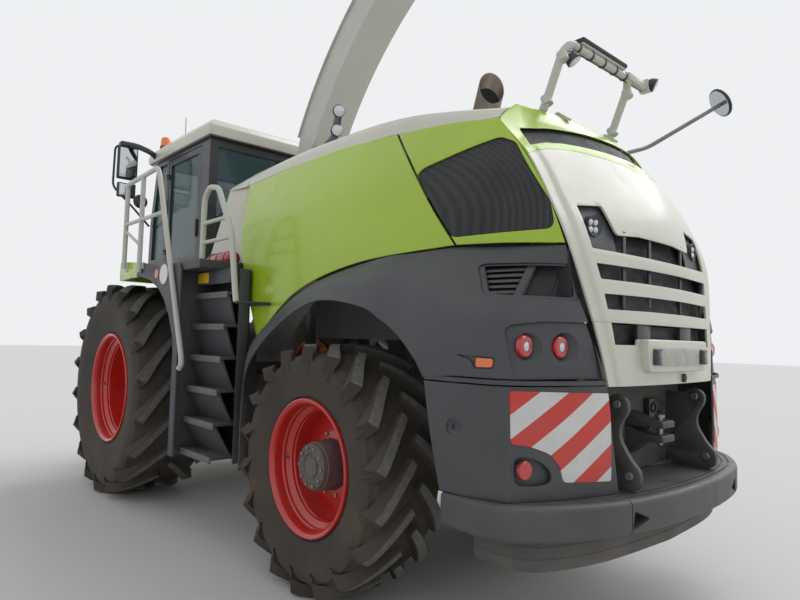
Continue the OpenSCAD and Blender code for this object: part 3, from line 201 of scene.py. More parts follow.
def eased(shape, width, angle=30, segments=2):
    """Rounds every edge that turns by more than the angle."""
    limit = math.radians(angle)
    sharp = [e for e in shape.edges if len(e.link_faces) == 2 and e.calc_face_angle(0) > limit]
    bmesh.ops.bevel(shape, geom=sharp, offset=width / 1000, offset_type="OFFSET", segments=segments,
                    profile=.5, affect="EDGES", material=-1, clamp_overlap=True)
    return shape


def stud(sides, foot, head, length):
    """A bolt's head, a pin or a plug: a cone or rod along Z, its sizes in millimetres."""
    shape = bmesh.new()
    bmesh.ops.create_cone(shape, cap_ends=True, segments=sides, radius1=foot / 1000, radius2=head / 1000,
                          depth=length / 1000)
    return shape


def block(low, high, ease=0.0, segments=2):
    """A block between two corners in millimetres, its edges eased."""
    shape = bmesh.new()
    bmesh.ops.create_cube(shape, size=1)
    size = Vector(high) - Vector(low)
    bmesh.ops.scale(shape, vec=size / 1000, verts=shape.verts)
    bmesh.ops.translate(shape, vec=(Vector(high) + Vector(low)) / 2000, verts=shape.verts)
    return eased(shape, ease, segments=segments) if ease else shape


def add(whole, shape, place=Matrix(), finish=0):
    """Sets a shape into a piece at its place, in one of the piece's finishes."""
    if finish is not None:
        for face in shape.faces:
            face.material_index = finish
    held = bpy.data.meshes.new("held")
    shape.to_mesh(held)
    shape.free()
    held.transform(place)
    if place.determinant() < 0:
        held.flip_normals()
    whole.from_mesh(held)
    bpy.data.meshes.remove(held)


here = Matrix.Translation((front_axle_x, 0, 0))


def slab(whole, low, high, ease=0.0, segments=2, finish=0):
    """Sets a block into a piece, its corners given in the drawing."""
    add(whole, block(low, high, ease, segments), here, finish)


def piece(name, whole, body, finishes, stands_for=(), smooth=32):
    """Turns a shape into an object that rides on a body, and may stand for nodes of the frame."""
    mesh = bpy.data.meshes.new(name)
    whole.to_mesh(mesh)
    whole.free()
    for finish in finishes:
        mesh.materials.append(finish)
    mesh.shade_smooth()
    mesh.set_sharp_from_angle(angle=math.radians(smooth))
    made = bpy.data.objects.new(name, mesh)
    bpy.context.scene.collection.objects.link(made)
    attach(made, body)
    if stands_for:
        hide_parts(*stands_for)
    return made


rubber = painted("tyre_rubber", (.030, .027, .024), rough=.78, dust=.55, dust_to=2.4,
                 dust_tint=(.15, .115, .082), tone=.25, patch=5, grain=.5, grain_scale=170)
bar_face = painted("worn_bar_face", (.14, .135, .125), rough=.85, dust=.3, dust_to=2, tone=.3, patch=30,
                   grain=.8, grain_scale=120)
rim_red = painted("rim_red", (.56, .010, .006), rough=.28, coat=.6, dust=.16, dust_to=2.2, tone=.05,
                  grain=.04)
hub_iron = painted("hub_iron", (.045, .047, .050), rough=.5, dust=.6, dust_to=2.2, chips=.3)
bolt_zinc = painted("bolt_zinc", (.32, .31, .29), rough=.38, metal=.9, dust=.3, dust_to=2.2)


def track(points, u):
    """A point on a list of evenly spaced stations, straight from one to the next."""
    k = min(int(u * (len(points) - 1)), len(points) - 2)
    f = u * (len(points) - 1) - k
    return [a + (b - a) * f for a, b in zip(points[k], points[k + 1])]


def tyre_shape(d, w, flange_r, half, lugs=18, lug_h=48):
    """A tyre of a diameter and width, for a rim of a flange radius and half width, with its bars."""
    r, base = d / 2, d / 2 - lug_h
    seat, toe = flange_r - 24.7, half - 26.3
    side = [(seat, toe), (flange_r + 6, toe + 2), (flange_r + 15, toe + 14), (flange_r + 34, toe + 18),
            (.62 * flange_r + .38 * base, w / 2 - 24), (.46 * flange_r + .54 * base, w / 2 - 13),
            (.35 * flange_r + .65 * base, w / 2 - 7), (.2 * flange_r + .8 * base, w / 2 - 12),
            (base - 46, w / 2 - 30), (base - 24, .41 * w), (base - 12, .34 * w), (base - 4, .2 * w),
            (base, 0)]
    whole = bmesh.new()
    add(whole, turned(side + [(a, -s) for a, s in side[-2::-1]], 108, ring=True))
    pitch = math.tau / lugs
    # Stations along a bar: across, height of its face, height of its foot, lean in pitches, half width
    stations = [(.02 * w, r - 3, base - 14, .00, 29), (.12 * w, r - 1, base - 14, .20, 30),
                (.22 * w, r, base - 16, .44, 31), (.32 * w, r - 3, base - 22, .72, 34),
                (.41 * w, r - 9, base - 40, 1.00, 38), (.462 * w, r - 20, base - 62, 1.16, 42),
                (.487 * w, base - 12, base - 84, 1.24, 45), (.490 * w, base - 62, base - 110, 1.28, 40)]
    for mirror in (1, -1):
        for k in range(lugs):
            bar = bmesh.new()
            bmesh.ops.create_cube(bar, size=1)
            long_edges = [e for e in bar.edges if abs(e.verts[0].co.x - e.verts[1].co.x) > .5]
            bmesh.ops.subdivide_edges(bar, edges=long_edges, cuts=6, use_grid_fill=True)
            for face in bar.faces:
                face.material_index = 1 if face.normal.z > .9 and face.calc_center_median().x < .25 else 0
            for v in bar.verts:
                u = v.co.x + .5
                across, face_r, foot_r, lean, wide = track(stations, u)
                nearby = track(stations, min(u + .05, 1)), track(stations, max(u - .05, 0))
                run = Vector(((nearby[0][3] - nearby[1][3]) * pitch * r,
                              nearby[0][0] - nearby[1][0])).normalized()
                wide *= 1.0 if v.co.z > 0 else 1.28
                radius = face_r if v.co.z > 0 else foot_r
                arc = -lean * pitch * r - run.y * v.co.y * 2 * wide
                swing = arc / r + pitch * (k + (.5 if mirror < 0 else 0))
                out = across - run.x * v.co.y * 2 * wide * (1 if u < .8 else .2)
                v.co = Vector((radius * math.sin(swing), mirror * max(out, .0),
                               radius * math.cos(swing))) / 1000
            bmesh.ops.recalc_face_normals(bar, faces=bar.faces)
            sharp = [e for e in bar.edges if any(f.material_index for f in e.link_faces)
                     and any(not f.material_index for f in e.link_faces)]
            bmesh.ops.bevel(bar, geom=sharp, offset=.005, offset_type="OFFSET", segments=1, profile=.5,
                            affect="EDGES", material=0, clamp_overlap=True)
            add(whole, bar, finish=None)
    return whole


def rim_shape(flange_r, half, disc_y, hub_y, spindle_r):
    """A rim with its dished disc, hub cap, bolts and valve."""
    bead = flange_r - 25
    well = bead - 45
    outer = [(flange_r - 10, half), (flange_r - 3, half - 3), (flange_r, half - 9), (flange_r, half - 20),
             (flange_r - 8, half - 24), (bead, half - 26), (bead, half - 90), (well, half - 130),
             (well, 130 - half), (bead, 90 - half), (bead, 26 - half), (flange_r, 20 - half),
             (flange_r, 8 - half), (flange_r - 10, -half)]
    inner = [(bead - 12, 22 - half), (bead - 12, 94 - half), (well - 12, 134 - half),
             (well - 12, half - 150), (well - 6, half - 142), (well - 6, half - 128),
             (bead - 30, half - 112), (bead - 20, half - 104), (bead - 20, half - 88),
             (bead - 12, half - 78), (bead - 12, half - 26), (flange_r - 30, half - 12),
             (flange_r - 20, half - 3)]
    whole = bmesh.new()
    add(whole, turned(outer + inner, 128, ring=True))
    disc = [(spindle_r + 2, disc_y - 14), (.55 * well, disc_y - 14), (.86 * well, disc_y - 58),
            (well - 9, disc_y - 60), (well - 9, disc_y - 42), (.87 * well, disc_y - 38),
            (.60 * well, disc_y + 2), (.56 * well, disc_y + 5), (spindle_r + 2, disc_y + 5)]
    add(whole, turned(disc, 128, ring=True))
    # The hub's cap is cast, with a rim, a shallow dish and the bolts of the planet gears on it
    cap = [(spindle_r + 96, disc_y + 4), (spindle_r + 92, disc_y + 30), (spindle_r + 84, hub_y - 34),
           (spindle_r + 78, hub_y - 30), (spindle_r + 74, hub_y - 6), (spindle_r + 66, hub_y - 1),
           (spindle_r + 20, hub_y - 1), (spindle_r + 14, hub_y - 8), (.4 * spindle_r, hub_y - 8),
           (0, hub_y - 6)]
    add(whole, turned(cap, 64), finish=1)
    for ring_r, at_y, count, size in ((spindle_r + 52, hub_y - 4, 10, 11),
                                      (spindle_r + 125, disc_y + 2, 10, 15)):
        for k in range(count):
            stand = rolled("Y", 360 * k / count) @ Matrix.Translation((ring_r / 1000, (at_y + 4) / 1000, 0))
            add(whole, stud(6, size, size * .9, 14), stand @ rolled("X", -90), finish=2)
    valve = Matrix.Translation(((bead - 36) / 1000, (half - 96) / 1000, 0)) @ rolled("X", -60)
    add(whole, stud(12, 6, 4, 50), valve, finish=2)
    return whole


for end, side, hub in (("front", "left", (0, 1150, 980)), ("front", "right", (0, -1150, 980)),
                       ("rear", "left", (-3090, 1040, 735)), ("rear", "right", (-3090, -1040, 735))):
    # The tyre's diameter and width, and the rim's flange radius and half width
    sizes = (1960, 710, 508, 305) if end == "front" else (1470, 540, 406, 238)
    # Places of the disc and the hub's end along the axle, and the spindle's radius
    middle = (-40, 60, 90) if end == "front" else (30, 190, 60)
    stand = stand_at(*hub) @ flip(1 if side == "left" else -1)
    for part, shape, finishes in (
            ("tyre", tyre_shape(*sizes), (rubber, bar_face)),
            ("rim", rim_shape(*sizes[2:], *middle), (rim_red, hub_iron, bolt_zinc))):
        whole = bmesh.new()
        add(whole, shape, stand, finish=None)
        piece(f"wheel_{part}_{end}_{side}", whole, f"wheel_{end}_{side}", finishes,
              (f"{part}_{end}_{side}",))


# Engine and crop channel: plain bare and painted castings and sheet deep inside the machine.
engine_grey = painted("engine_grey", (.11, .115, .12), rough=.6, dust=.5, dust_to=3, grain=.3,
                      grain_scale=90)
bare_sheet = painted("bare_sheet", (.42, .42, .41), rough=.45, metal=.8, dust=.5, dust_to=2.5, tone=.15)
dress(engine_grey, "engine_block")
dress(bare_sheet, "drum_housing", "crop_duct", "feed_roll_upper", "feed_roll_lower")


# Side covers: large lime panels of painted steel sheet with a soft fold, hung under the hood's
# edge. The rear pair is cut out round a black wire mesh that the radiator breathes through.
def flow(points, t):
    """A smooth curve through a list of points, at t from 0 to the last index."""
    i = min(int(t), len(points) - 2)
    f = t - i
    a, b, c, d = (Vector(points[max(0, min(len(points) - 1, k))]) for k in (i - 1, i, i + 1, i + 2))
    return (b + f * (c - a) / 2 + f * f * (a - 2.5 * b + 2 * c - d / 2)
            + f * f * f * (1.5 * (b - c) + (d - a) / 2))


def skin_point(sections, u, v):
    """A point of the sheet through some sections: u runs from one to the next, v along each."""
    rows = [flow(row, v * (len(row) - 1)) for row in sections]
    return at(*flow(rows, u * (len(rows) - 1)))


def skin(sections, looks, thick=12, along=30, across=24, span=((0, 1), (0, 1)), sunk=0.0):
    """A sheet through a few sections, its outer face turned the way that it looks."""
    (u0, u1), (v0, v1) = span
    shape = bmesh.new()
    bmesh.ops.create_grid(shape, x_segments=along, y_segments=across, size=.5)
    for vert in shape.verts:
        vert.co = skin_point(sections, u0 + (u1 - u0) * (vert.co.x + .5), v0 + (v1 - v0) * (vert.co.y + .5))
    shape.normal_update()
    lean = sum((f.normal * f.calc_area() for f in shape.faces), Vector())
    if lean.dot(Vector(looks)) < 0:
        bmesh.ops.reverse_faces(shape, faces=shape.faces)
        shape.normal_update()
    if sunk:
        for vert, way in [(v, v.normal.copy()) for v in shape.verts]:
            vert.co -= way * sunk / 1000
    bmesh.ops.solidify(shape, geom=shape.faces[:], thickness=thick / 1000)
    bmesh.ops.recalc_face_normals(shape, faces=shape.faces)
    return shape


def prism(outline, way, low, high):
    """An outline in the plane across X, Y or Z, drawn out along that way between two places."""
    shape = bmesh.new()
    order = {"X": (2, 0, 1), "Y": (0, 2, 1), "Z": (0, 1, 2)}[way]
    verts = [shape.verts.new([(p[0], p[1], low)[k] for k in order]) for p in outline]
    face = shape.faces.new(verts)
    drawn = bmesh.ops.extrude_face_region(shape, geom=[face])["geom"]
    step = Vector([(0, 0, high - low)[k] for k in order])
    bmesh.ops.translate(shape, vec=step, verts=[g for g in drawn if isinstance(g, bmesh.types.BMVert)])
    bmesh.ops.recalc_face_normals(shape, faces=shape.faces)
    return shape


drawing = here @ Matrix.Diagonal((.001, .001, .001, 1))


def carved(shape, tool, keep_inside=False):
    """Cuts a shape with a tool, or keeps only what lies inside the tool."""
    pair = []
    for name, held in (("stock", shape), ("tool", tool)):
        mesh = bpy.data.meshes.new(name)
        held.to_mesh(mesh)
        held.free()
        pair.append(bpy.data.objects.new(name, mesh))
        bpy.context.scene.collection.objects.link(pair[-1])
    cut = pair[0].modifiers.new("cut", "BOOLEAN")
    cut.operation, cut.object, cut.solver = "INTERSECT" if keep_inside else "DIFFERENCE", pair[1], "EXACT"
    bpy.context.view_layer.update()
    done = bpy.data.meshes.new_from_object(pair[0].evaluated_get(bpy.context.evaluated_depsgraph_get()))
    result = bmesh.new()
    result.from_mesh(done)
    for made in pair:
        mesh = made.data
        bpy.data.objects.remove(made)
        bpy.data.meshes.remove(mesh)
    bpy.data.meshes.remove(done)
    return result


def within(shape, tool):
    """Keeps only what lies inside a tool."""
    return carved(shape, tool, keep_inside=True)


def tool(outline, way, low, high):
    """A cutting tool from an outline in millimetres of the drawing."""
    made = bmesh.new()
    add(made, prism(outline, way, low, high), drawing)
    return made


def circle(across, up, r, steps=28):
    return [(across + r * math.cos(math.tau * k / steps),
             up + r * math.sin(math.tau * k / steps)) for k in range(steps)]


def rounded(outline, r, steps=4):
    """An outline with its corners rounded."""
    done = []
    for k, p in enumerate(outline):
        p, q, s = Vector(p), Vector(outline[k - 1]), Vector(outline[(k + 1) % len(outline)])
        a = p + (q - p).normalized() * min(r, (q - p).length * .45)
        b = p + (s - p).normalized() * min(r, (s - p).length * .45)
        for j in range(steps + 1):
            f = j / steps
            done.append(tuple((1 - f) ** 2 * a + 2 * f * (1 - f) * p + f * f * b))
    return done


lime_paint = painted("lime_paint", (.350, .515, .010), rough=.30, coat=.5, dust=.10, dust_to=3.0, tone=.04,
                     grain=.03, dust_tint=(.40, .38, .30))
mesh_black = bpy.data.materials.new("black_wire_mesh")
mesh_black.use_nodes = True
weave = mesh_black.node_tree
place = wire(weave, "TexCoord", {}).outputs["Object"]
cells = wire(weave, "TexVoronoi", {"Vector": place, "Scale": 95, "Randomness": 0.0})
wires = wire(weave, "MapRange",
             {"Value": cells.outputs["Distance"], "From Min": .25, "From Max": .5, "To Min": 0,
              "To Max": 1}).outputs[0]
tint = wire(weave, "MixRGB", {0: times(weave, wires, uneven(weave, 3, .3, 1)), 1: (.004, .004, .005, 1),
                              2: (.035, .036, .038, 1)}).outputs[0]
weave.links.new(tint, weave.nodes["Principled BSDF"].inputs["Base Color"])
weave.links.new(wire(weave, "Bump", {"Strength": .8, "Distance": .003, "Height": wires}).outputs[0],
                weave.nodes["Principled BSDF"].inputs["Normal"])
weave.links.new(uneven(weave, 12, .45, .65), weave.nodes["Principled BSDF"].inputs["Roughness"])

split = [(-3960, 958, 2015), (-3800, 972, 2230), (-3610, 957, 2500), (-3390, 883, 2765)]
rear_split = [(-4560, 812, 1990), (-4482, 842, 2220), (-4352, 838, 2450), (-4130, 788, 2715)]
side_sections = [
    [(-2060, 1050, 1490), (-1900, 1060, 1870), (-1740, 1045, 2250), (-1550, 890, 2755)],
    [(-2560, 1050, 1806), (-2500, 1060, 2060), (-2420, 1022, 2400), (-2300, 898, 2785)],
    [(-3200, 1028, 1966), (-3130, 1032, 2155), (-3040, 1002, 2450), (-2900, 898, 2790)], split]
mesh_sections = [[(x - 20, y, z) for x, y, z in split],
                 [(-4270, 903, 2005), (-4180, 923, 2230), (-4060, 903, 2480), (-3790, 848, 2745)],
                 [(x + 14, y, z) for x, y, z in rear_split]]
mesh_window = [(-3900, 2085), (-3960, 2055), (-4480, 2060), (-4500, 2090), (-4480, 2200), (-4260, 2540),
               (-4160, 2590), (-3700, 2480), (-3660, 2440), (-3700, 2350)]
wire_window = [(-3892, 2081), (-3960, 2049), (-4486, 2054), (-4507, 2088), (-4486, 2203), (-4264, 2547),
               (-4160, 2597), (-3696, 2487), (-3651, 2442), (-3692, 2350)]
for side, mirror, side_body in (("left", 1, "root"), ("right", -1, "side_cover_right")):
    whole = bmesh.new()
    add(whole, eased(skin(side_sections, (0, 1, 0), along=48, across=36), 3, angle=50), flip(mirror))
    piece(f"side_cover_{side}", whole, side_body, (lime_paint,), (f"side_panel_{side}",))

    whole = bmesh.new()
    sheet = skin(mesh_sections, (0, 1, 0), along=36, across=30)
    sheet = eased(carved(sheet, tool(rounded(mesh_window, 30), "Y", 500, 1200)), 2.5, angle=50)
    add(whole, sheet, flip(mirror))
    wires = skin(mesh_sections, (0, 1, 0), along=36, across=30, thick=3, sunk=8)
    add(whole, within(wires, tool(rounded(wire_window, 30), "Y", 500, 1200)), flip(mirror), finish=1)
    piece(f"mesh_cover_{side}", whole, f"mesh_cover_{side}", (lime_paint, mesh_black),
          (f"mesh_panel_{side}",))


# Hood: one long crowned steel sheet in warm cream paint, lime at its tail like the covers beside
# it. It stands on four legs over the engine, with holes for the exhaust and the spout rest's feet.
cream_paint = painted("cream_paint", (.60, .59, .50), rough=.36, coat=.3, dust=.16, dust_to=2.4, tone=.03,
                      grain=.04)


def crowned(x, half_w, edge_z, shoulder_z, crown_z, shoulder=.84):
    """Points across a crowned sheet, from its left edge to its right edge."""
    return [(x, s * half_w, edge_z if abs(s) > .9 else shoulder_z if abs(s) > .5 else crown_z)
            for s in (1, shoulder, 0, -shoulder, -1)]


whole = bmesh.new()
hood_sections = [crowned(-1500, 882, 2760, 2900, 2950), crowned(-2400, 890, 2793, 2940, 2990),
                 crowned(-3350, 876, 2774, 2924, 2980), crowned(-4105, 780, 2724, 2818, 2850, .8)]
holes = tool(rounded([(-4190, 340), (-4030, 340), (-4030, 412), (-4190, 412)], 20), "Z", 2700, 2990)
add(holes, tool(rounded([(-4190, -412), (-4030, -412), (-4030, -340), (-4190, -340)], 20), "Z", 2700, 2990))
add(holes, stud(48, 128, 128, 800), stand_at(-3090, -300, 2900), finish=None)
crown = eased(carved(skin(hood_sections, (0, 0, 1), along=60, across=56), holes), 3, angle=50)
# The lime tail begins along a shallow arrow across the sheet
for face in crown.faces:
    spot = face.calc_center_median()
    face.material_index = 1 if spot.x < -2.235 - .42 * abs(spot.y) else 0
add(whole, crown, finish=None)
for mirror in (1, -1):
    for x, top in ((-2600, 2944), (-3220, 2930)):
        add(whole, block((x, 560, 2451), (x + 40, 600, top), 4), here @ flip(mirror))
piece("hood_crown", whole, "root", (cream_paint, lime_paint), ("hood_top",))


# Rear hood: the cream tail of the machine, pressed from sheet, which lifts on two hinge arms under
# the hood. A lime band with black mesh runs across its top, over the bars of the radiator's grille.
hood_rows = [(1617, -4673, -4629, 688), (1990, -4622, -4568, 806), (2240, -4560, -4470, 838),
             (2470, -4470, -4338, 830), (2640, -4385, -4180, 802), (2715, -4330, -4122, 786),
             (2835, -4190, -4112, 640)]


def bowed(rows):
    """Sections of a cover that bows back. Each row: height, x at the middle and the edge, half width."""
    return [[(s * s * edge + (1 - s * s) * middle, s * wide, z) for s in (1, .5, 0, -.5, -1)]
            for z, middle, edge, wide in rows]


def stood_out(shape, sections, amount=12, rail=58):
    """Presses the middle of a cover outwards between its rails, which leaves a crease along each rail."""
    for vert in shape.verts:
        z = vert.co.z * 1000
        wide = next((a[3] + (b[3] - a[3]) * (z - a[0]) / (b[0] - a[0])
                     for a, b in zip(sections, sections[1:]) if z <= b[0]), sections[-1][3])
        near = (wide - abs(vert.co.y) * 1000 - rail) / 22
        fade = min(1, max(0, (2700 - z) / 120))
        vert.co.x -= amount / 1000 * min(1, max(0, near)) * fade
    return shape


def across_tool(outlines, low=-5000, high=-4000, r=6):
    made = bmesh.new()
    for outline in outlines:
        add(made, tool(rounded(outline, r) if r else outline, "X", low, high), finish=None)
    return made


def mirrored(outline):
    return outline + [(-y, z) for y, z in reversed(outline)]


# Height of the band's lower edge across the hood, and of the mesh strips' edges
band_edge = [(900, 2440), (829, 2463), (760, 2492), (680, 2515), (600, 2529), (450, 2536), (0, 2540)]
strip_low = [(772, 2526), (660, 2562), (540, 2578), (300, 2586), (0, 2590)]
strip_top = [(0, 2700), (300, 2698), (540, 2684), (730, 2650)]
band_outline = mirrored(band_edge[:-1]) + [(-900, 2900), (900, 2900)]
strips = [strip_low[:-1] + [(0, 2590), (-255, 2588), (-262, 2700), (0, 2702)] + strip_top[1:],
          [(-290, 2587), (-540, 2578), (-660, 2562), (-772, 2526), (-730, 2650), (-540, 2684),
           (-297, 2699)]]
lamp_hole = [(688, 2193), (486, 2219), (431, 2088), (410, 2071), (200, 2088), (0, 2092)]
openings = [mirrored(lamp_hole[:-1]) + [(-657, 1977), (-422, 1976), (422, 1976), (657, 1977)],
            [(640, 1905), (200, 1910), (-200, 1910), (-640, 1905), (-618, 1828), (-200, 1832), (200, 1832),
             (618, 1828)],
            [(604, 1757), (200, 1762), (-200, 1762), (-604, 1757), (-588, 1680), (-200, 1684), (200, 1684),
             (588, 1680)]]

whole = bmesh.new()
tail_skin = bowed(hood_rows)
screen_grid = dict(along=54, across=110)


def tail_sheet():
    return stood_out(skin(tail_skin, (-1, 0, 0), **screen_grid), hood_rows)


def behind_tail(outline, thick, sunk, **span):
    """A sheet that lies under the tail's skin and follows it."""
    return within(skin(tail_skin, (-1, 0, 0), thick=thick, sunk=sunk, **screen_grid, **span),
                  across_tool([outline], r=0))


cream_part = carved(tail_sheet(), across_tool([band_outline], r=0))
add(whole, eased(carved(cream_part, across_tool(openings, r=9)), 5, angle=40))
band = within(tail_sheet(), across_tool([[(y, z + 1.5) for y, z in band_outline]], r=0))
add(whole, eased(carved(band, across_tool(strips, r=12)), 4, angle=40), finish=1)
# Black mesh behind the strips, and the radiator's black screen behind the bars
mesh_outline = [(800, 2490), (400, 2560), (-400, 2560), (-800, 2490), (-760, 2740), (760, 2740)]
add(whole, behind_tail(mesh_outline, 3, 16), finish=2)
screen_outline = [(800, 1640), (-800, 1640), (-830, 2230), (830, 2230)]
add(whole, behind_tail(screen_outline, 4, 58, span=((0, .62), (0, 1))), finish=2)
dark_plastic = painted("dark_plastic", (.050, .054, .060), rough=.46, dust=.30, dust_to=1.4, tone=.06,
                       grain=.25, grain_scale=300)
lamp_clear = painted("lamp_clear", (.62, .64, .66), rough=.12, metal=.35, coat=.8, dust=.05, tone=.1,
                     grain=.3, grain_scale=70)
lamp_plate = [(700, 2206), (478, 2232), (422, 2088), (414, 1974), (664, 1966)]
hinge_arm = [(-4215, 2806), (-4146, 2848), (-4128, 2852), (-4128, 2872), (-4146, 2876), (-4225, 2818)]
for mirror in (1, -1):
    # The headlamp: a sunk plate, and a round lamp of four cells
    add(whole, behind_tail([(y * mirror, z) for y, z in lamp_plate], 6, 15), finish=3)
    lamp = stand_at(-4562, 584 * mirror, 2100) @ rolled("Z", -90 - 9 * mirror)
    add(whole, turned([(0, 2), (40, 2), (43, -2), (50, -4), (53, -10), (53, 46), (0, 46)], 40), lamp,
        finish=3)
    for across in (-.019, .019):
        for up in (-.019, .019):
            cell = turned([(0, -9), (9, -6), (16, 0), (17, 3), (0, 3)], 24)
            add(whole, cell, lamp @ Matrix.Translation((across, 0, up)), finish=4)
    add(whole, prism(hinge_arm, "Y", 258, 284), flip(mirror) @ drawing)
# Posts of the radiator's frame show through the bars
for y in (-330, 60, 345):
    slab(whole, (-4602, y - 14, 1650), (-4588, y + 14, 2100), 3, finish=5)
cab_black = painted("cab_black", (.022, .023, .025), rough=.4, coat=.2, dust=.2, dust_to=3)
piece("rear_hood_cover", whole, "rear_cover",
      (cream_paint, lime_paint, mesh_black, dark_plastic, lamp_clear, cab_black), ("rear_hood",), smooth=38)


# Rear panel: the fixed cream sheet below the bars, bolted to the frame by four lugs. Its raised
# middle carries a bare plate between two black lamps, and a small oval lock sits under it.
panel_rows = [(1306, -4697, -4663, 606), (1460, -4690, -4650, 645), (1615.5, -4674, -4630, 687)]
whole = bmesh.new()
panel_skin = bowed(panel_rows)
half_notch = [(571, 1640), (571, 1616), (556, 1508), (372, 1508), (360, 1538)]
notch = across_tool([mirrored(half_notch)], r=4)
sheet = stood_out(skin(panel_skin, (-1, 0, 0), along=24, across=110), panel_rows)
add(whole, eased(carved(sheet, notch), 5, angle=40))
for mirror in (1, -1):
    add(whole, block((-4684, 225, 1380), (-4440.5, 285, 1430), 3), flip(mirror) @ here)
    add(whole, block((-4662, 180, 1400), (-4640, 320, 1640), 3), flip(mirror) @ here, finish=1)
backing = skin(panel_skin, (-1, 0, 0), thick=4, sunk=52, along=24, across=66)
add(whole, within(backing, across_tool([[(590, 1480), (-590, 1480), (-600, 1630), (600, 1630)]], r=0)),
    finish=2)
housing = rounded([(352, 1540), (-352, 1540), (-356, 1500), (-330, 1372), (330, 1372), (356, 1500)], 22)
add(whole, eased(tool(housing, "X", -4738, -4680), 9, angle=40, segments=3))
plate_white = painted("plate_white", (.52, .51, .47), rough=.45, dust=.7, dust_to=3.2, tone=.16, patch=14,
                      grain=.1)
slab(whole, (-4745, -240, 1404), (-4738, 240, 1496), 3, finish=3)
for y in (-278, 278):
    slab(whole, (-4762, y - 34, 1410), (-4736, y + 34, 1492), 7, finish=4)
    slab(whole, (-4765, y - 26, 1418), (-4758, y + 26, 1484), 4, finish=5)
lock = stand_at(-4716, -106, 1336) @ rolled("Z", -90) @ Matrix.Diagonal((.8, 1, 1.25, 1))
add(whole, turned([(0, -4), (6, -4), (8, -9), (17, -9), (19, -5), (19, 6), (0, 6)], 32), lock, finish=4)
smoked = painted("smoked_lens", (.012, .012, .014), rough=.1, coat=.9, dust=.05, tone=.1, grain=.02)
piece("rear_panel_shell", whole, "root",
      (cream_paint, cab_black, mesh_black, plate_white, dark_plastic, smoked), ("rear_panel",), smooth=38)


# Rear corners: a moulded dark shell on each side, from the fender over the wheel round to the
# tail. It has a louvred vent, a sunk lamp panel, and a lower cover that bears a striped plate.
fender_rows = [
    [(-2060, 1040, 540), (-2090, 1130, 540), (-2140, 1200, 540)],
    [(-2062, 1040, 1000), (-2095, 1145, 1000), (-2170, 1215, 1000)],
    [(-2075, 1050, 1440), (-2140, 1160, 1380), (-2270, 1230, 1290)],
    [(-2340, 1052, 1665), (-2450, 1170, 1600), (-2600, 1240, 1540)],
    [(-2800, 1048, 1865), (-2920, 1170, 1790), (-3050, 1240, 1720)],
    [(-3400, 1022, 1975), (-3440, 1150, 1850), (-3480, 1232, 1690)],
    [(-3700, 987, 1992), (-3715, 1128, 1826), (-3690, 1220, 1590)],
    [(-3960, 950, 2002), (-3950, 1110, 1800), (-3936, 1172, 1690), (-3905, 1204, 1500),
     (-3905, 1212, 1344)],
    [(-4150, 912, 1992), (-4160, 1086, 1760), (-4172, 1166, 1640), (-4184, 1192, 1500),
     (-4216, 1202, 1344)],
    [(-4380, 860, 1982), (-4400, 1018, 1760), (-4432, 1106, 1622), (-4442, 1130, 1500),
     (-4468, 1141, 1344)],
    [(-4500, 822, 1978), (-4534, 880, 1760), (-4562, 900, 1615), (-4576, 898, 1500), (-4590, 882, 1344)],
    [(-4546, 806, 1978), (-4580, 760, 1760), (-4616, 720, 1612), (-4640, 690, 1500), (-4661, 632, 1344)]]
low_side = [[(-4015, 1212, 1308), (-4066, 1212, 1060), (-4130, 1205, 803)],
            [(-4220, 1200, 1308), (-4250, 1200, 1060), (-4280, 1195, 803)],
            [(-4462, 1142, 1308), (-4474, 1142, 1060), (-4476, 1136, 803)]]
low_rear = [low_side[-1], [(-4586, 880, 1308), (-4597, 870, 1060), (-4602, 860, 803)],
            [(-4664, 626, 1308), (-4680, 600, 1060), (-4690, 560, 803)]]
vent = rounded([(-4590, 1706), (-4330, 1716), (-4262, 1738), (-4158, 1886), (-4190, 1898), (-4566, 1888)],
               18)
wide_vent = [(-4620, 1690), (-4330, 1700), (-4240, 1716), (-4120, 1900), (-4580, 1920)]
lamp_panel = rounded([(1120, 1300), (1124, 1565), (1100, 1588), (960, 1607), (716, 1612), (640, 1300)], 14)
stripes_edge = rounded([(1126, 1291), (1126, 1058), (1040, 1045), (950, 1010), (900, 950), (882, 880),
                        (612, 866), (615, 1276)], 16)
lens_red = painted("lens_red", (.50, .010, .006), rough=.18, coat=.9, dust=.15, dust_to=2.4, tone=.12,
                   grain=.5, grain_scale=120)
lens_amber = painted("lens_amber", (.80, .16, .010), rough=.2, coat=.9, dust=.12, dust_to=2.4, tone=.10,
                     grain=.5, grain_scale=120)
sign_red = painted("sign_red", (.60, .030, .020), rough=.42, dust=.35, dust_to=2.0, tone=.08, grain=.1)
sign_white = painted("sign_white", (.66, .66, .64), rough=.42, dust=.40, dust_to=2.0, tone=.06, grain=.1)
# The stripes are parted by planes: their first place, their spacing and the way across them
stripe_start, stripe_pitch, stripe_run = 1.6229, .0845, Vector((0, .595, .804))


def corner_skin(thick=9, sunk=0.0):
    return skin(fender_rows, (0, 1, .3), along=88, across=32, thick=thick, sunk=sunk)


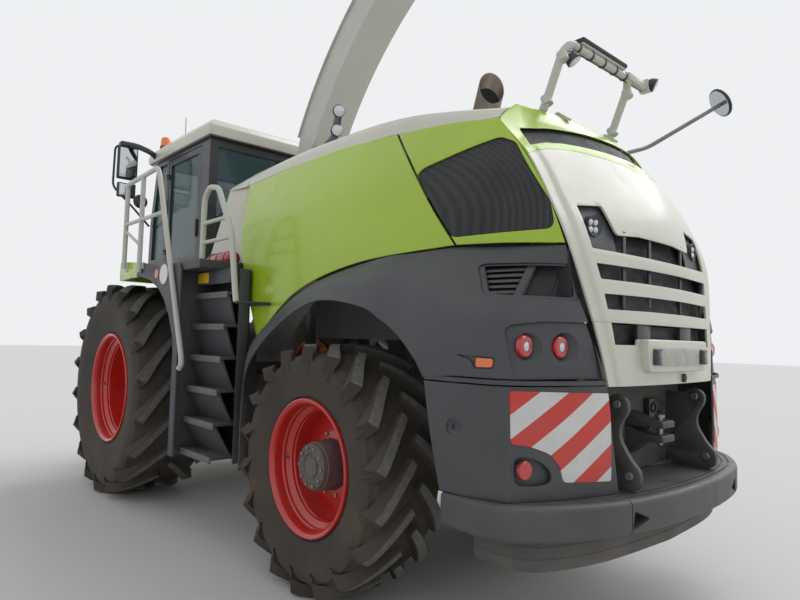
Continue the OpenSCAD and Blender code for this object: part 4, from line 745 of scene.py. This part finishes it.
for side, mirror in (("left", 1), ("right", -1)):
    half = bmesh.new()
    wheel_arch = [(-3480, 1688), (-3560, 1662), (-3640, 1628), (-3720, 1584), (-3800, 1530), (-3880, 1466),
                  (-3950, 1398), (-4008, 1320), (-4008, 1200), (-3400, 1200), (-3400, 1688)]
    groove = rounded([(-4205, 1444), (-4330, 1440), (-4412, 1438), (-4414, 1384), (-4318, 1382),
                      (-4290, 1420)], 10)
    shell = carved(corner_skin(), tool(wheel_arch, "Y", 1000, 1300))
    shell = carved(shell, tool(vent, "Y", 600, 1250))
    shell = carved(shell, across_tool([lamp_panel], high=-4380, r=0))
    shell = carved(shell, tool(groove, "Y", 1050, 1300))
    add(half, eased(shell, 4, angle=42))
    # The vent: a sunk lip, louvres, a post beside them, and wire mesh behind
    lip = within(corner_skin(sunk=9), tool(wide_vent, "Y", 600, 1250))
    inside = [(-4572, 1724), (-4334, 1732), (-4280, 1748), (-4186, 1880), (-4200, 1884), (-4552, 1876)]
    add(half, eased(carved(lip, tool(rounded(inside, 14), "Y", 600, 1250)), 4, angle=42))
    for z in range(1738, 1855, 29):
        louvre = tool([(-4392, z), (-4392, z + 15), (-4150, z + 12), (-4150, z - 3)], "Y", 600, 1250)
        add(half, eased(within(corner_skin(thick=16, sunk=26), louvre), 4, angle=42))
    post = tool([(-4428, 1690), (-4428, 1900), (-4398, 1900), (-4398, 1690)], "Y", 600, 1250)
    add(half, within(corner_skin(thick=14, sunk=20), post))
    add(half, within(corner_skin(thick=4, sunk=58), tool(wide_vent, "Y", 600, 1250)), finish=1)
    slab(half, (-4560, 700, 1640), (-4480, 798, 1960), finish=1)
    # The lamp panel, with a cone round each lamp
    panel = within(corner_skin(thick=74, sunk=15), across_tool([lamp_panel], high=-4380, r=0))
    cones = bmesh.new()
    lamps = ((-4520, 1046, 1490), (-4586, 862, 1490))
    for x, y, z in lamps:
        add(cones, stud(48, 56, 92, 72), stand_at(x + 5, y, z) @ rolled("Y", -90), finish=None)
    add(half, eased(carved(panel, cones), 4, angle=42))
    for x, y, z in lamps:
        stand = stand_at(x + 24, y, z) @ rolled("Z", 90)
        add(half, turned([(24, 10), (44, 9), (51, 2), (52, -14), (24, -14)], 40, ring=True), stand,
            finish=2)
        add(half, turned([(0, 13), (14, 12), (22, 9), (23, -14), (0, -14)], 32), stand, finish=4)
    # The narrow side lamp in its groove, and the groove's floor
    groove_floor = [(-4190, 1455), (-4425, 1455), (-4425, 1370), (-4190, 1370)]
    add(half, within(corner_skin(thick=4, sunk=12), tool(groove_floor, "Y", 1050, 1300)))
    side_lamp = rounded([(-4322, 1432), (-4404, 1430), (-4404, 1392), (-4322, 1390)], 10)
    side_lamp = within(corner_skin(thick=12, sunk=2), tool(side_lamp, "Y", 1050, 1300))
    add(half, eased(side_lamp, 3, angle=42), finish=3)
    # The ledge between the two covers, then the lower cover with its lock, round lamp and striped plate
    ledge = [[(x, y - 3, z) for z in (1336, 1316)] for x, y in
             ((-4014, 1212), (-4220, 1201), (-4466, 1142), (-4608, 882), (-4662, 630))]
    add(half, skin(ledge, (0, 1, .3), along=48, across=2, thick=6))
    low_shell = skin(low_side, (0, 1, 0), along=24, across=16, thick=9)
    add(half, eased(carved(low_shell, tool(circle(-4205, 1105, 38, 32), "Y", 1100, 1300)), 3, angle=42))
    lock = [(0, 2), (12, 2), (14, 10), (30, 12), (38, 18), (44, 18), (44, 2), (50, -2), (0, -2)]
    add(half, turned(lock, 40), stand_at(-4205, 1184, 1105))
    pocket = rounded([(1108, 1004), (1010, 990), (944, 940), (930, 884), (1000, 866), (1108, 876)], 36)
    rear = carved(skin(low_rear, (-1, 0, 0), along=28, across=16, thick=9),
                  across_tool([pocket], high=-4380, r=0))
    add(half, eased(rear, 5, angle=42, segments=3))
    pocket_floor = across_tool([[(1125, 1020), (900, 1010), (900, 850), (1125, 850)]], high=-4380, r=0)
    add(half, within(skin(low_rear, (-1, 0, 0), along=28, across=16, thick=4, sunk=30), pocket_floor))
    stand = stand_at(-4516, 1068, 942) @ rolled("Z", 84)
    add(half, turned([(0, 12), (38, 11), (42, 7), (42, -6), (0, -6)], 40), stand, finish=2)
    add(half, turned([(0, -6), (40, -6), (34, -34), (0, -34)], 40), stand)
    plate = within(skin(low_rear, (-1, 0, 0), along=28, across=16, thick=5, sunk=-4),
                   across_tool([stripes_edge], high=-4380, r=0))
    for k in range(9):
        bmesh.ops.bisect_plane(plate, geom=plate.verts[:] + plate.edges[:] + plate.faces[:], dist=1e-6,
                               plane_co=stripe_run * (stripe_start - stripe_pitch * k), plane_no=stripe_run)
    for face in plate.faces:
        stripe = int((stripe_start - face.calc_center_median().dot(stripe_run)) / stripe_pitch + 1)
        face.material_index = 5 + stripe % 2
    add(half, plate, finish=None)
    whole = bmesh.new()
    add(whole, half, flip(mirror), finish=None)
    piece(f"rear_corner_{side}", whole, "root",
          (dark_plastic, mesh_black, lens_red, lens_amber, lamp_clear, sign_red, sign_white),
          (f"fender_rear_{side}", "corner_panels", "vent_fins", "lamps"), smooth=38)


# Rear step: a thick rounded bumper moulded in dark plastic on a steel core, grooved on top, with
# a drawbar pin in a pocket on each side. The cast weight hangs under it.
def swept(left, inner, inset=0):
    """A symmetric outline from its left half, which runs to the middle line."""
    way = [flow(left, t * (len(left) - 1) / 24) for t in range(25)]
    held = []
    for k, p in enumerate(way):
        run = (way[min(k + 1, 24)] - way[max(k - 1, 0)]).normalized()
        held.append((p.x - run.y * inset, p.y + run.x * inset))
    held[-1] = (held[-1][0], 0)
    return held + [(x, -y) for x, y in held[-2::-1]] + inner


step_left = [(-4130, 1210), (-4420, 1215), (-4560, 1130), (-4700, 900), (-4790, 640), (-4840, 300),
             (-4850, 0)]
weight_left = [(-4200, 1040), (-4440, 1030), (-4560, 900), (-4650, 560), (-4690, 0)]
whole = bmesh.new()
body = tool(swept(step_left, [(-4130, -880), (-4400, -880), (-4400, 880), (-4130, 880)]), "Z", 641, 800)
body = eased(body, 26, angle=60, segments=5)
for inset in (48, 84):
    ring = swept(step_left, [], inset)
    body = carved(body, tool(ring + swept(step_left, [], inset + 7)[::-1], "Z", 794, 830))
for mirror in (1, -1):
    mouth = [(y * mirror, z) for y, z in [(605, 752), (500, 706), (588, 672), (622, 668)]]
    body = carved(body, across_tool([mouth], low=-4900, high=-4722, r=12))
    joint = [(x, y * mirror) for x, y in [(-4900, 628), (-4776, 628), (-4776, 622), (-4900, 622)]]
    body = carved(body, tool(joint, "Z", 630, 810))
add(whole, body)
weight_inner = [(-4200, -860), (-4380, -860), (-4380, 860), (-4200, 860)]
add(whole, eased(tool(swept(weight_left, weight_inner), "Z", 478, 641), 10, angle=60, segments=3), finish=1)
for z in (530, 585):
    add(whole, tool(swept(weight_left, weight_inner, -2), "Z", z, z + 5), finish=1)
for mirror in (1, -1):
    add(whole, block((-4430, 200, 740), (-4350, 300, 889), 4), here @ flip(mirror), finish=1)
    pin = bmesh.new()
    bmesh.ops.create_uvsphere(pin, u_segments=24, v_segments=16, radius=.017)
    add(whole, pin, stand_at(-4755, 582 * mirror, 700), finish=2)
cast_grey = painted("cast_grey", (.052, .054, .056), rough=.6, dust=.7, dust_to=1.4, grain=.6,
                    grain_scale=110, tone=.12)
piece("rear_step_bumper", whole, "root", (dark_plastic, cast_grey, bolt_zinc), ("rear_step",), smooth=38)


# Hitch: two thick flame-cut side plates with pins in their eyes, bolted to a back plate, and an
# open jaw with its drawbar pin between them.
dark_steel = painted("dark_steel", (.030, .032, .035), rough=.5, dust=.5, dust_to=2.2, chips=.4)
whole = bmesh.new()
cheek = rounded([(-4440, 840), (-4560, 801), (-4715, 801), (-4752, 830), (-4752, 900), (-4700, 950),
                 (-4640, 1050), (-4648, 1120), (-4690, 1180), (-4684, 1242), (-4620, 1272), (-4570, 1232),
                 (-4440, 1240)], 34)
plate_holes = ((-4700, 874, 21), (-4635, 1215, 21), (-4490, 900, 9), (-4490, 960, 9), (-4490, 1020, 9),
               (-4520, 930, 9))
for mirror in (1, -1):
    low, high = sorted((440 * mirror, 470 * mirror))
    plate = tool(cheek, "Y", low, high)
    for x, z, r in plate_holes:
        plate = carved(plate, tool(circle(x, z, r), "Y", low - 20, high + 20))
    add(whole, eased(plate, 3, angle=50))
    for x, z, _ in plate_holes[:2]:
        eye_stand = stand_at(x, 455 * mirror, z)
        add(whole, turned([(0, -30), (18, -30), (20.5, -27), (20.5, 27), (18, 30), (0, 30)], 40), eye_stand,
            finish=1)
        add(whole, turned([(22, -4), (34, -4), (36, -1), (36, 18), (22, 18)], 40, ring=True), eye_stand)
    for z in (1010, 1060, 1110, 1160):
        add(whole, stud(6, 12, 11, 14), stand_at(-4468, 380 * mirror, z) @ rolled("Y", 90), finish=1)
slab(whole, (-4462, -610, 806), (-4444, 610, 1296), 3, finish=2)
for outline in ([(-4462, 1066), (-4560, 1028), (-4672, 1028), (-4680, 1020), (-4680, 990), (-4560, 985),
                 (-4462, 900)],
                [(-4462, 1140), (-4560, 1104), (-4672, 1104), (-4680, 1096), (-4680, 1066), (-4462, 1064)]):
    jaw = tool(outline, "Y", -70, 70)
    jaw = carved(jaw, tool(circle(-4630, 0, 16), "Z", 850, 1250))
    add(whole, eased(jaw, 5, angle=40))
add(whole, turned([(0, -88), (11, -88), (15, -84), (15, 60), (24, 62), (24, 78), (0, 80)], 36),
    stand_at(-4630, 0, 1056) @ rolled("X", 90), finish=1)
# Sockets for a trailer's hose and lead, right of the jaw
for y, z, r in ((-190, 1150, 30), (-190, 1070, 24), (-262, 1110, 22), (205, 1178, 26)):
    socket = [(0, 0), (r - 6, 0), (r - 4, -34), (r, -36), (r + 6, -10), (r + 6, 12), (0, 12)]
    add(whole, turned(socket, 32), stand_at(-4474, y, z) @ rolled("Z", -90), finish=3)
slab(whole, (-4500, -290, 1010), (-4458, -150, 1200), 6, finish=3)
wall_grey = painted("wall_grey", (.058, .060, .062), rough=.6, dust=.5, dust_to=1.8, tone=.12, patch=4)
piece("hitch_frame", whole, "root", (dark_steel, bolt_zinc, wall_grey, cab_black), ("tow_hitch",),
      smooth=38)


# Ladder: six treads of folded dark sheet between side plates, with leaning closed risers and pale
# tread lips, their grey a painted highlight along each tread's edge. A blank yellow label is fixed to
# the beam over its top, and a bracket holds the hoop.
# Light grey: on the ladder's tread lips it is a painted highlight along each tread's edge, on the
# platforms' grip strips it is wear
lip_highlight_and_wear_grey = painted("lip_highlight_and_wear_grey", (.13, .135, .14), rough=.5, metal=.3, dust=.4, dust_to=2.4, tone=.2,
                    patch=20)
label_yellow = painted("label_yellow", (.78, .46, .012), rough=.4, dust=.12, tone=.05)
whole = bmesh.new()
cheek = [(-1000, 2076), (-1445, 2058), (-1500, 1999), (-1500, 560), (-1416, 560), (-1412, 1300),
         (-1396, 1462), (-1296, 1640), (-1190, 1770), (-1058, 1868), (-1000, 1894)]
add(whole, eased(tool(cheek, "Y", 1400, 1418), 4, angle=50))
slab(whole, (-1430, 1080, 560), (-1412, 1420, 1999.5), 4)
slab(whole, (-2000, 1080, 560), (-1982, 1170, 1999.5), 4)
slab(whole, (-2000, 1080, 560), (-1400, 1094, 1999.5), 3)
tread_count, tread_rise = 6, 240
for k in range(tread_count):
    z = 600 + tread_rise * k
    deep = 1345 - 16 * k
    slab(whole, (-1990, 1090, z), (-1425, deep, z + 22), 4)
    # Each tread's lip is pale grey, a painted highlight along its front edge
    slab(whole, (-1988, deep - 10, z - 22), (-1427, deep + 3, z + 25), 3, finish=1)
    # Each riser leans in, from the back of one tread to the lip of the next
    if k < tread_count - 1:
        riser = [(1180, z + 20), (1194, z + 20), (deep - 30, z + 238), (deep - 44, z + 238)]
        add(whole, tool(riser, "X", -1985, -1432))
slab(whole, (-1990, 1225, 1890), (-1425, 1245, 1998), 5)
slab(whole, (-1630, 1246, 1905), (-1440, 1250, 1985), 2, finish=2)
# The hoop's bracket
slab(whole, (-2290, 1075, 1722), (-2000, 1092, 1744), 4)
slab(whole, (-2290, 1075, 1722), (-2272, 1345, 1744), 4)
piece("ladder", whole, "root", (dark_plastic, lip_highlight_and_wear_grey, label_yellow), ("boarding_steps",), smooth=38)


# Platforms: a deck of dark sheet on each side between the cab and the covers, on short posts.
# Each has a row of pale worn grip strips across it.
whole = bmesh.new()
for mirror in (1, -1):
    half = bmesh.new()
    slab(half, (-1790, 880, 2000), (-480, 1398, 2070), 8, 3)
    for k in range(9):
        slab(half, (-1740 + 138 * k, 930, 2066), (-1640 + 138 * k, 1370, 2073), 3, finish=1)
    slab(half, (-1480, 960, 1500), (-1400, 1075, 2005), 4)
    add(whole, half, flip(mirror), finish=None)
piece("platform_decks", whole, "root", (dark_plastic, lip_highlight_and_wear_grey), ("platforms",), smooth=38)


# Side tank: a moulded dark tank under the right platform, where the ladder is on the left side.
# Its round cap stands on top.
tank = rounded([(-1960, 760), (-1880, 620), (-1300, 620), (-1180, 760), (-1180, 1900), (-1840, 1900),
                (-1955, 1620)], 60)
whole = bmesh.new()
add(whole, eased(tool(tank, "Y", -1380, -1012), 22, angle=50, segments=4))
cap = [(0, 60), (54, 60), (60, 54), (60, 0), (0, 0)]
add(whole, turned(cap, 40), stand_at(-1600, -1200, 1880) @ rolled("X", 90), finish=1)
piece("side_tank_shell", whole, "root", (dark_plastic, cab_black), ("side_tank",), smooth=38)


# Front fenders: sheets over the front wheels, folded down at the outside, dark with a lime front
# part. A blank white disc and a dark red reflector are fixed to the left one.
disc_white = painted("disc_white", (.70, .70, .69), rough=.35, dust=.1, dust_to=2.4, tone=.03)
whole = bmesh.new()
lime_edge = at(-524, 0, 0)
over = [(-1000, 2074), (-524, 2128), (-86, 2164), (-86, 2144), (-524, 2108), (-1000, 2056)]
flank = [(-86, 2165), (-524, 2130), (-1010, 2076), (-1010, 1888), (-860, 1950), (-638, 1992), (-380, 1996),
         (-86, 1984)]
for mirror in (1, -1):
    for outline, near, far in ((over, 830, 1402), (flank, 1400, 1418)):
        sheet = eased(tool(outline, "Y", *sorted((near * mirror, far * mirror))), 4, angle=50)
        bmesh.ops.bisect_plane(sheet, geom=sheet.verts[:] + sheet.edges[:] + sheet.faces[:], dist=1e-6,
                               plane_co=lime_edge, plane_no=Vector((1, 0, 0)))
        for face in sheet.faces:
            face.material_index = 1 if face.calc_center_median().x > lime_edge.x else 0
        add(whole, sheet, finish=None)
    front = [(-86, 2165), (-70, 2150), (-70, 1990), (-86, 1984)]
    add(whole, eased(tool(front, "Y", *sorted((830 * mirror, 1418 * mirror))), 3, angle=50), finish=1)
disc = stand_at(-1160, 1412, 1986)
for radius, high, finish in ((84, 12, 2), (100, 9, 3)):
    face = [(0, high), (radius - 4, high), (radius, high - 4), (radius, 0), (0, 0)]
    add(whole, turned(face, 56), disc, finish=finish)
reflector = [(0, 16), (38, 15), (42, 11), (42, 0), (0, 0)]
add(whole, turned(reflector, 40), stand_at(-1010, 1410, 1996), finish=4)
piece("front_fender_sheets", whole, "root", (dark_plastic, lime_paint, disc_white, cab_black, lens_red),
      ("front_fenders",), smooth=38)


# Handrails: pale painted steel tubes, bent and welded. One frame guards the platform and runs
# down along the ladder, and a hoop with two cross tubes stands behind it.
def pipe(points, r, sides=18, bend=60):
    """A tube through a list of points in millimetres of the drawing, rounded at each bend."""
    way = [Vector(points[0])]
    for a, b, c in zip(points, points[1:], points[2:]):
        a, b, c = Vector(a), Vector(b), Vector(c)
        cut = min(bend, (a - b).length * .45, (c - b).length * .45)
        p, q = b + (a - b).normalized() * cut, b + (c - b).normalized() * cut
        way += [(1 - f) ** 2 * p + 2 * f * (1 - f) * b + f * f * q for f in [k / 8 for k in range(9)]]
    way.append(Vector(points[-1]))
    shape = bmesh.new()
    rings = []
    side = Vector((.31, .52, .8)).cross(way[1] - way[0]).normalized()
    for k, p in enumerate(way):
        run = (way[min(k + 1, len(way) - 1)] - way[max(k - 1, 0)]).normalized()
        side = (side - run * side.dot(run)).normalized()
        up = run.cross(side)
        rings.append([shape.verts.new(at(*(p + r * (math.cos(a) * side + math.sin(a) * up))))
                      for a in [math.tau * j / sides for j in range(sides)]])
    for low, high in zip(rings, rings[1:]):
        for j in range(sides):
            shape.faces.new((low[j], low[(j + 1) % sides], high[(j + 1) % sides], high[j]))
    shape.faces.new(rings[0][::-1])
    shape.faces.new(rings[-1])
    bmesh.ops.recalc_face_normals(shape, faces=shape.faces)
    return shape


pale_paint = painted("pale_paint", (.52, .52, .47), rough=.42, coat=.15, dust=.2, dust_to=3.0, tone=.05)
whole = bmesh.new()
rails = (
    # The frame with its long leg, its cross tube, post and brace
    (21, [(-240, 1441, 2096), (-240, 1441, 2880), (-960, 1441, 2905), (-1010, 1441, 2850),
          (-1640, 1441, 1330), (-1650, 1441, 1270), (-1610, 1441, 1240)]),
    (17, [(-240, 1441, 2500), (-1130, 1441, 2500)]),
    (21, [(-640, 1441, 2030), (-640, 1441, 2890)]),
    (14, [(-240, 1441, 2440), (-640, 1441, 2270)]),
    # The hoop and its cross tubes
    (21, [(-1700, 1341, 2070.5), (-1700, 1341, 2540), (-1780, 1341, 2620), (-1930, 1341, 2590),
          (-2170, 1341, 2230), (-2262, 1341, 1800), (-2281, 1341, 1735)]),
    (15, [(-1700, 1341, 2350), (-2090, 1341, 2350)]),
    (15, [(-1700, 1341, 2200), (-2175, 1341, 2200)]))
for r, way in rails:
    add(whole, pipe(way, r, bend=45))
for x in (-240, -640):
    slab(whole, (x - 40, 1400, 2060), (x + 40, 1425, 2120), 4)
piece("rail_tubes", whole, "root", (pale_paint,), ("handrails",), smooth=40)


# Extinguisher: a red steel bottle that lies on the platform, held by three dark bands. Its valve
# looks forward.
whole = bmesh.new()
bottle = [(0, 0), (40, 2), (56, 14), (62, 30), (62, 385), (56, 402), (40, 414), (24, 420), (22, 450),
          (22, 484), (0, 484)]
lie = stand_at(-1560, 1000, 2132.3) @ rolled("Z", -90)
extinguisher_red = painted("extinguisher_red", (.52, .012, .014), rough=.25, coat=.7, dust=.12, dust_to=3,
                           tone=.04, grain=.03)
add(whole, turned(bottle, 48), lie)
for k in (70, 210, 340):
    strap = [(60, k), (64, k), (65, k + 3), (65, k + 21), (64, k + 24), (60, k + 24)]
    add(whole, turned(strap, 48, ring=True), lie, finish=1)
piece("extinguisher_bottle", whole, "root", (extinguisher_red, cab_black), ("extinguisher",), smooth=38)


# Cab roof: a cream moulded shell with facets along its sides and a dark gutter under it. It sits
# on the posts of the cab.
whole = bmesh.new()
roof = [(-660, 3421), (920, 3421), (940, 3480), (840, 3550), (600, 3595), (0, 3610), (-600, 3590),
        (-660, 3520)]
shape = tool(roof, "Y", -860, 860)
for mirror in (1, -1):
    facet = [(mirror * y, z) for y, z in [(866, 3520), (760, 3640), (1000, 3660), (1000, 3500)]]
    corner = tool(facet, "X", -1000, 1300)
    shape = carved(shape, corner)
add(whole, eased(shape, 12, angle=20, segments=3))
slab(whole, (-640, -846, 3406), (905, 846, 3432), 6, finish=1)
piece("roof_shell", whole, "root", (cream_paint, cab_black), ("cab_roof",), smooth=30)


# Mirrors: two in black moulded cases on bent tubes at each front corner of the cab, and a round
# one on a long thin arm at the tail. A wire aerial stands on the roof.
def facing(place, way, axis="Y"):
    """A stand at a place of the drawing, with one of its axes turned to look a way."""
    return stand_at(*place) @ Vector(way).normalized().to_track_quat(axis, "Z").to_matrix().to_4x4()


mirror_glass = painted("mirror_glass", (.55, .58, .60), rough=.05, metal=1, dust=.04, tone=.02, grain=.01)
whole = bmesh.new()
for mirror in (1, -1):
    half = bmesh.new()
    add(half, pipe([(800, 780, 3440), (700, 905, 3500), (770, 1040, 3560), (880, 1130, 3590)], 30, bend=60))
    add(half, pipe([(890, 1060, 3580), (905, 1235, 3560), (905, 1240, 3100), (880, 1030, 2900),
                    (860, 840, 2700)], 12, bend=60))
    slab(half, (850, 1000, 3190), (905, 1215, 3560), 16, 3)
    slab(half, (846, 1018, 3210), (852, 1197, 3540), 2, finish=1)
    slab(half, (850, 1010, 2990), (900, 1205, 3150), 14, 3)
    slab(half, (846, 1026, 3004), (852, 1189, 3136), 2, finish=1)
    slab(half, (830, 1040, 3540), (930, 1200, 3610), 20, 3)
    add(half, turned([(0, -14), (60, -10), (78, 0), (76, 8), (0, 10)], 40),
        stand_at(820, 965, 2960) @ rolled("Z", -90))
    add(whole, half, flip(mirror), finish=None)
aerial = [(640, 560, 3560), (650, 560, 3700), (655, 560, 3985)]
add(whole, pipe(aerial, 4, sides=10))
# The arm at the tail, on the right side
arm_grey = painted("arm_grey", (.20, .205, .20), rough=.42, metal=.4, dust=.2, dust_to=3, tone=.1)
add(whole, pipe([(-4050, -680, 2700), (-4050, -680, 2860), (-4120, -900, 2940), (-4440, -1390, 3310)], 15,
                bend=70), finish=2)
round_at = facing((-4440, -1390, 3324), (-.57, -.63, .53))
add(whole, turned([(0, -14), (100, -12), (108, -6), (110, 2), (106, 10), (0, 14)], 56), round_at)
add(whole, turned([(0, -17), (96, -15), (98, -12), (0, -12)], 56), round_at, finish=1)
add(whole, turned([(0, 10), (26, 10), (32, 18), (34, 52), (24, 60), (0, 60)], 36), round_at)
piece("mirror_set", whole, "root", (cab_black, mirror_glass, arm_grey), ("mirrors",), smooth=38)


# Beacons: amber domes of clear plastic on dark rubber feet, one at each side of the roof.
# Each is screwed down near the roof's front edge.
beacon_orange = painted("beacon_orange", (.85, .20, .010), rough=.15, coat=.9, dust=.05, tone=.06, grain=.3,
                        grain_scale=100)
whole = bmesh.new()
for mirror in (1, -1):
    stand = stand_at(700, 760 * mirror, 3560) @ rolled("X", 90)
    add(whole, turned([(0, -30), (50, -30), (58, 0), (62, 30), (62, 42), (0, 42)], 40), stand, finish=1)
    add(whole, turned([(0, 42), (56, 42), (56, 60), (54, 120), (44, 142), (24, 152), (0, 154)], 40), stand)
piece("beacons", whole, "root", (beacon_orange, cab_black), ("lamps",), smooth=38)


# Spout rest: a bent steel tube over the hood with a rubber pad on top, clamped to two feet. A work
# lamp stands on a bracket at its right, another hangs under its left bend, and a lead is clipped to it.
pad_rubber = painted("pad_rubber", (.035, .036, .038), rough=.8, dust=.4, dust_to=4, grain=.5,
                     grain_scale=140)
whole = bmesh.new()
legs = [(-4050, 376, 2775), (-4120, 376, 2895), (-4235, 376, 3180), (-4260, 330, 3235)]
bow = legs + [(x, -y, z) for x, y, z in reversed(legs)]
add(whole, pipe(bow, 25, sides=24, bend=40))
slab(whole, (-4305, -252, 3262), (-4215, 262, 3290), 9, 3, finish=1)
slab(whole, (-4296, -244, 3252), (-4224, 254, 3264), 2)
for x, y, z in ((-4235, 376, 3150), (-4235, -376, 3150), (-4130, -376, 2920), (-4130, 376, 2920)):
    add(whole, pipe([(x - 12, y, z - 25), (x + 8, y, z + 25)], 31, sides=24))
slab(whole, (-4290, -560, 3215), (-4240, -300, 3262), 5)
slab(whole, (-4296, -588, 3205), (-4232, -540, 3290), 5)
lamp = [(0, -30), (20, -30), (34, -22), (44, 4), (46, 22), (40, 26), (0, 24)]
for place, way in (((-4300, -590, 3262), (-.8, -.4, -.45)), ((-4262, 318, 3150), (-.55, -.25, -.8))):
    look = facing(place, way)
    add(whole, turned(lamp, 36), look, finish=2)
    add(whole, turned([(0, 22), (36, 22), (38, 28), (30, 31), (0, 32)], 36), look, finish=3)
lead = [(-4085, 348, 2850), (-4126, 345, 2900), (-4232, 345, 3176), (-4252, 312, 3205), (-4256, -300, 3206),
        (-4258, -520, 3206)]
add(whole, pipe(lead, 4, sides=10, bend=30), finish=2)
for y in (260, 120, -20, -160, -280):
    add(whole, pipe([(-4259, y - 5, 3233), (-4259, y + 5, 3233)], 31, sides=24), finish=2)
piece("spout_rest_bow", whole, "root", (pale_paint, pad_rubber, cab_black, lamp_clear), ("spout_rest",),
      smooth=38)


# Exhaust: a brown, heat-tinted steel pipe that stands up through the hood and leans back a little.
# Its mouth is cut on the slant, and is sooty inside.
pipe_tan = painted("pipe_tan", (.23, .19, .15), rough=.55, metal=.6, dust=.2, dust_to=4, tone=.3, patch=4)
soot = painted("soot", (.012, .011, .011), rough=.9, dust=.1, tone=.3, patch=6)
whole = bmesh.new()
axis = [(-3075, -300, 2925), (-3060, -300, 3180), (-3250, -300, 3800)]
mouth = facing((-3150, -300, 3487), (-.79, .42, .38), "X")
for r, deep, finish in ((104, 0, 0), (98, 70, 1)):
    cutter = bmesh.new()
    add(cutter, block((-deep, -600, -600), (900, 600, 600)), mouth)
    tube = carved(pipe(axis, r, sides=48, bend=120), cutter)
    if not finish:
        tube = carved(tube, pipe(axis, 99, sides=48, bend=120))
    add(whole, tube, finish=finish)
piece("exhaust_pipe", whole, "root", (pipe_tan, soot), ("exhaust",), smooth=38)


# Spout lamps: two round work lamps on a flat black bracket, bolted to the collar's cheek beside the
# spout's foot. They turn with the collar and stay clear of the spout when it comes down.
whole = bmesh.new()
bracket = [(-1190, 3050), (-1420, 3060), (-1800, 3200), (-1860, 3290), (-1890, 3450), (-1850, 3500),
           (-1790, 3480), (-1740, 3300), (-1400, 3150), (-1190, 3140)]
add(whole, eased(tool(rounded(bracket, 20), "Y", 208, 218), 2, angle=40))
for place, way in (((-1905, 264, 3471), (-.93, .3, -.2)), ((-1885, 264, 3302), (-.93, .3, -.1))):
    look = facing(place, way)
    add(whole, turned([(0, -44), (30, -42), (46, -20), (52, 10), (54, 26), (50, 30), (0, 30)], 40), look)
    add(whole, turned([(0, 28), (44, 28), (47, 32), (40, 36), (0, 38)], 40), look, finish=1)
lamps_made = piece("spout_lamps", whole, "collar", (cab_black, lamp_clear), smooth=38)


# Turret cover: the cream sheet cowl between the cab and the hood that the spout stands on.
# It is bolted down round the turning ring.
dress(cream_paint, "turret_cover")


# Spout: a pale painted channel of bent sheet with its turning collar and its end flap. A black ram
# with a chromed rod lifts it.
rod_chrome = painted("rod_chrome", (.62, .62, .62), rough=.14, metal=1, dust=.1, tone=.02, grain=.02)
dress(pale_paint, "spout_collar", "spout_boom", "spout_flap")
dress(cab_black, "spout_barrel")
dress(rod_chrome, "spout_rod")


# Intake: a lime welded housing before the front axle, which carries the ribbed feed rolls. Two
# black rams with chromed rods lift it.
dress(lime_paint, "intake_housing")
dress(cab_black, "lift_barrels")
dress(rod_chrome, "lift_rods")


# Cab: dark painted steel posts and door frame round panes of tinted glass, with the driver's seat
# and wheel inside. The door hangs on the left side.
dress(cab_black, "cab_shell", "cab_door", "driver_station")
glass = bpy.data.materials.new("tinted_glass")
glass.use_nodes = True
pane = glass.node_tree.nodes["Principled BSDF"]
pane.inputs["Base Color"].default_value = (.03, .10, .105, 1)
pane.inputs["Alpha"].default_value = .5
glass.node_tree.links.new(uneven(glass.node_tree, 7, .03, .10), pane.inputs["Roughness"])
dress(glass, "cab_glass", "door_glass")
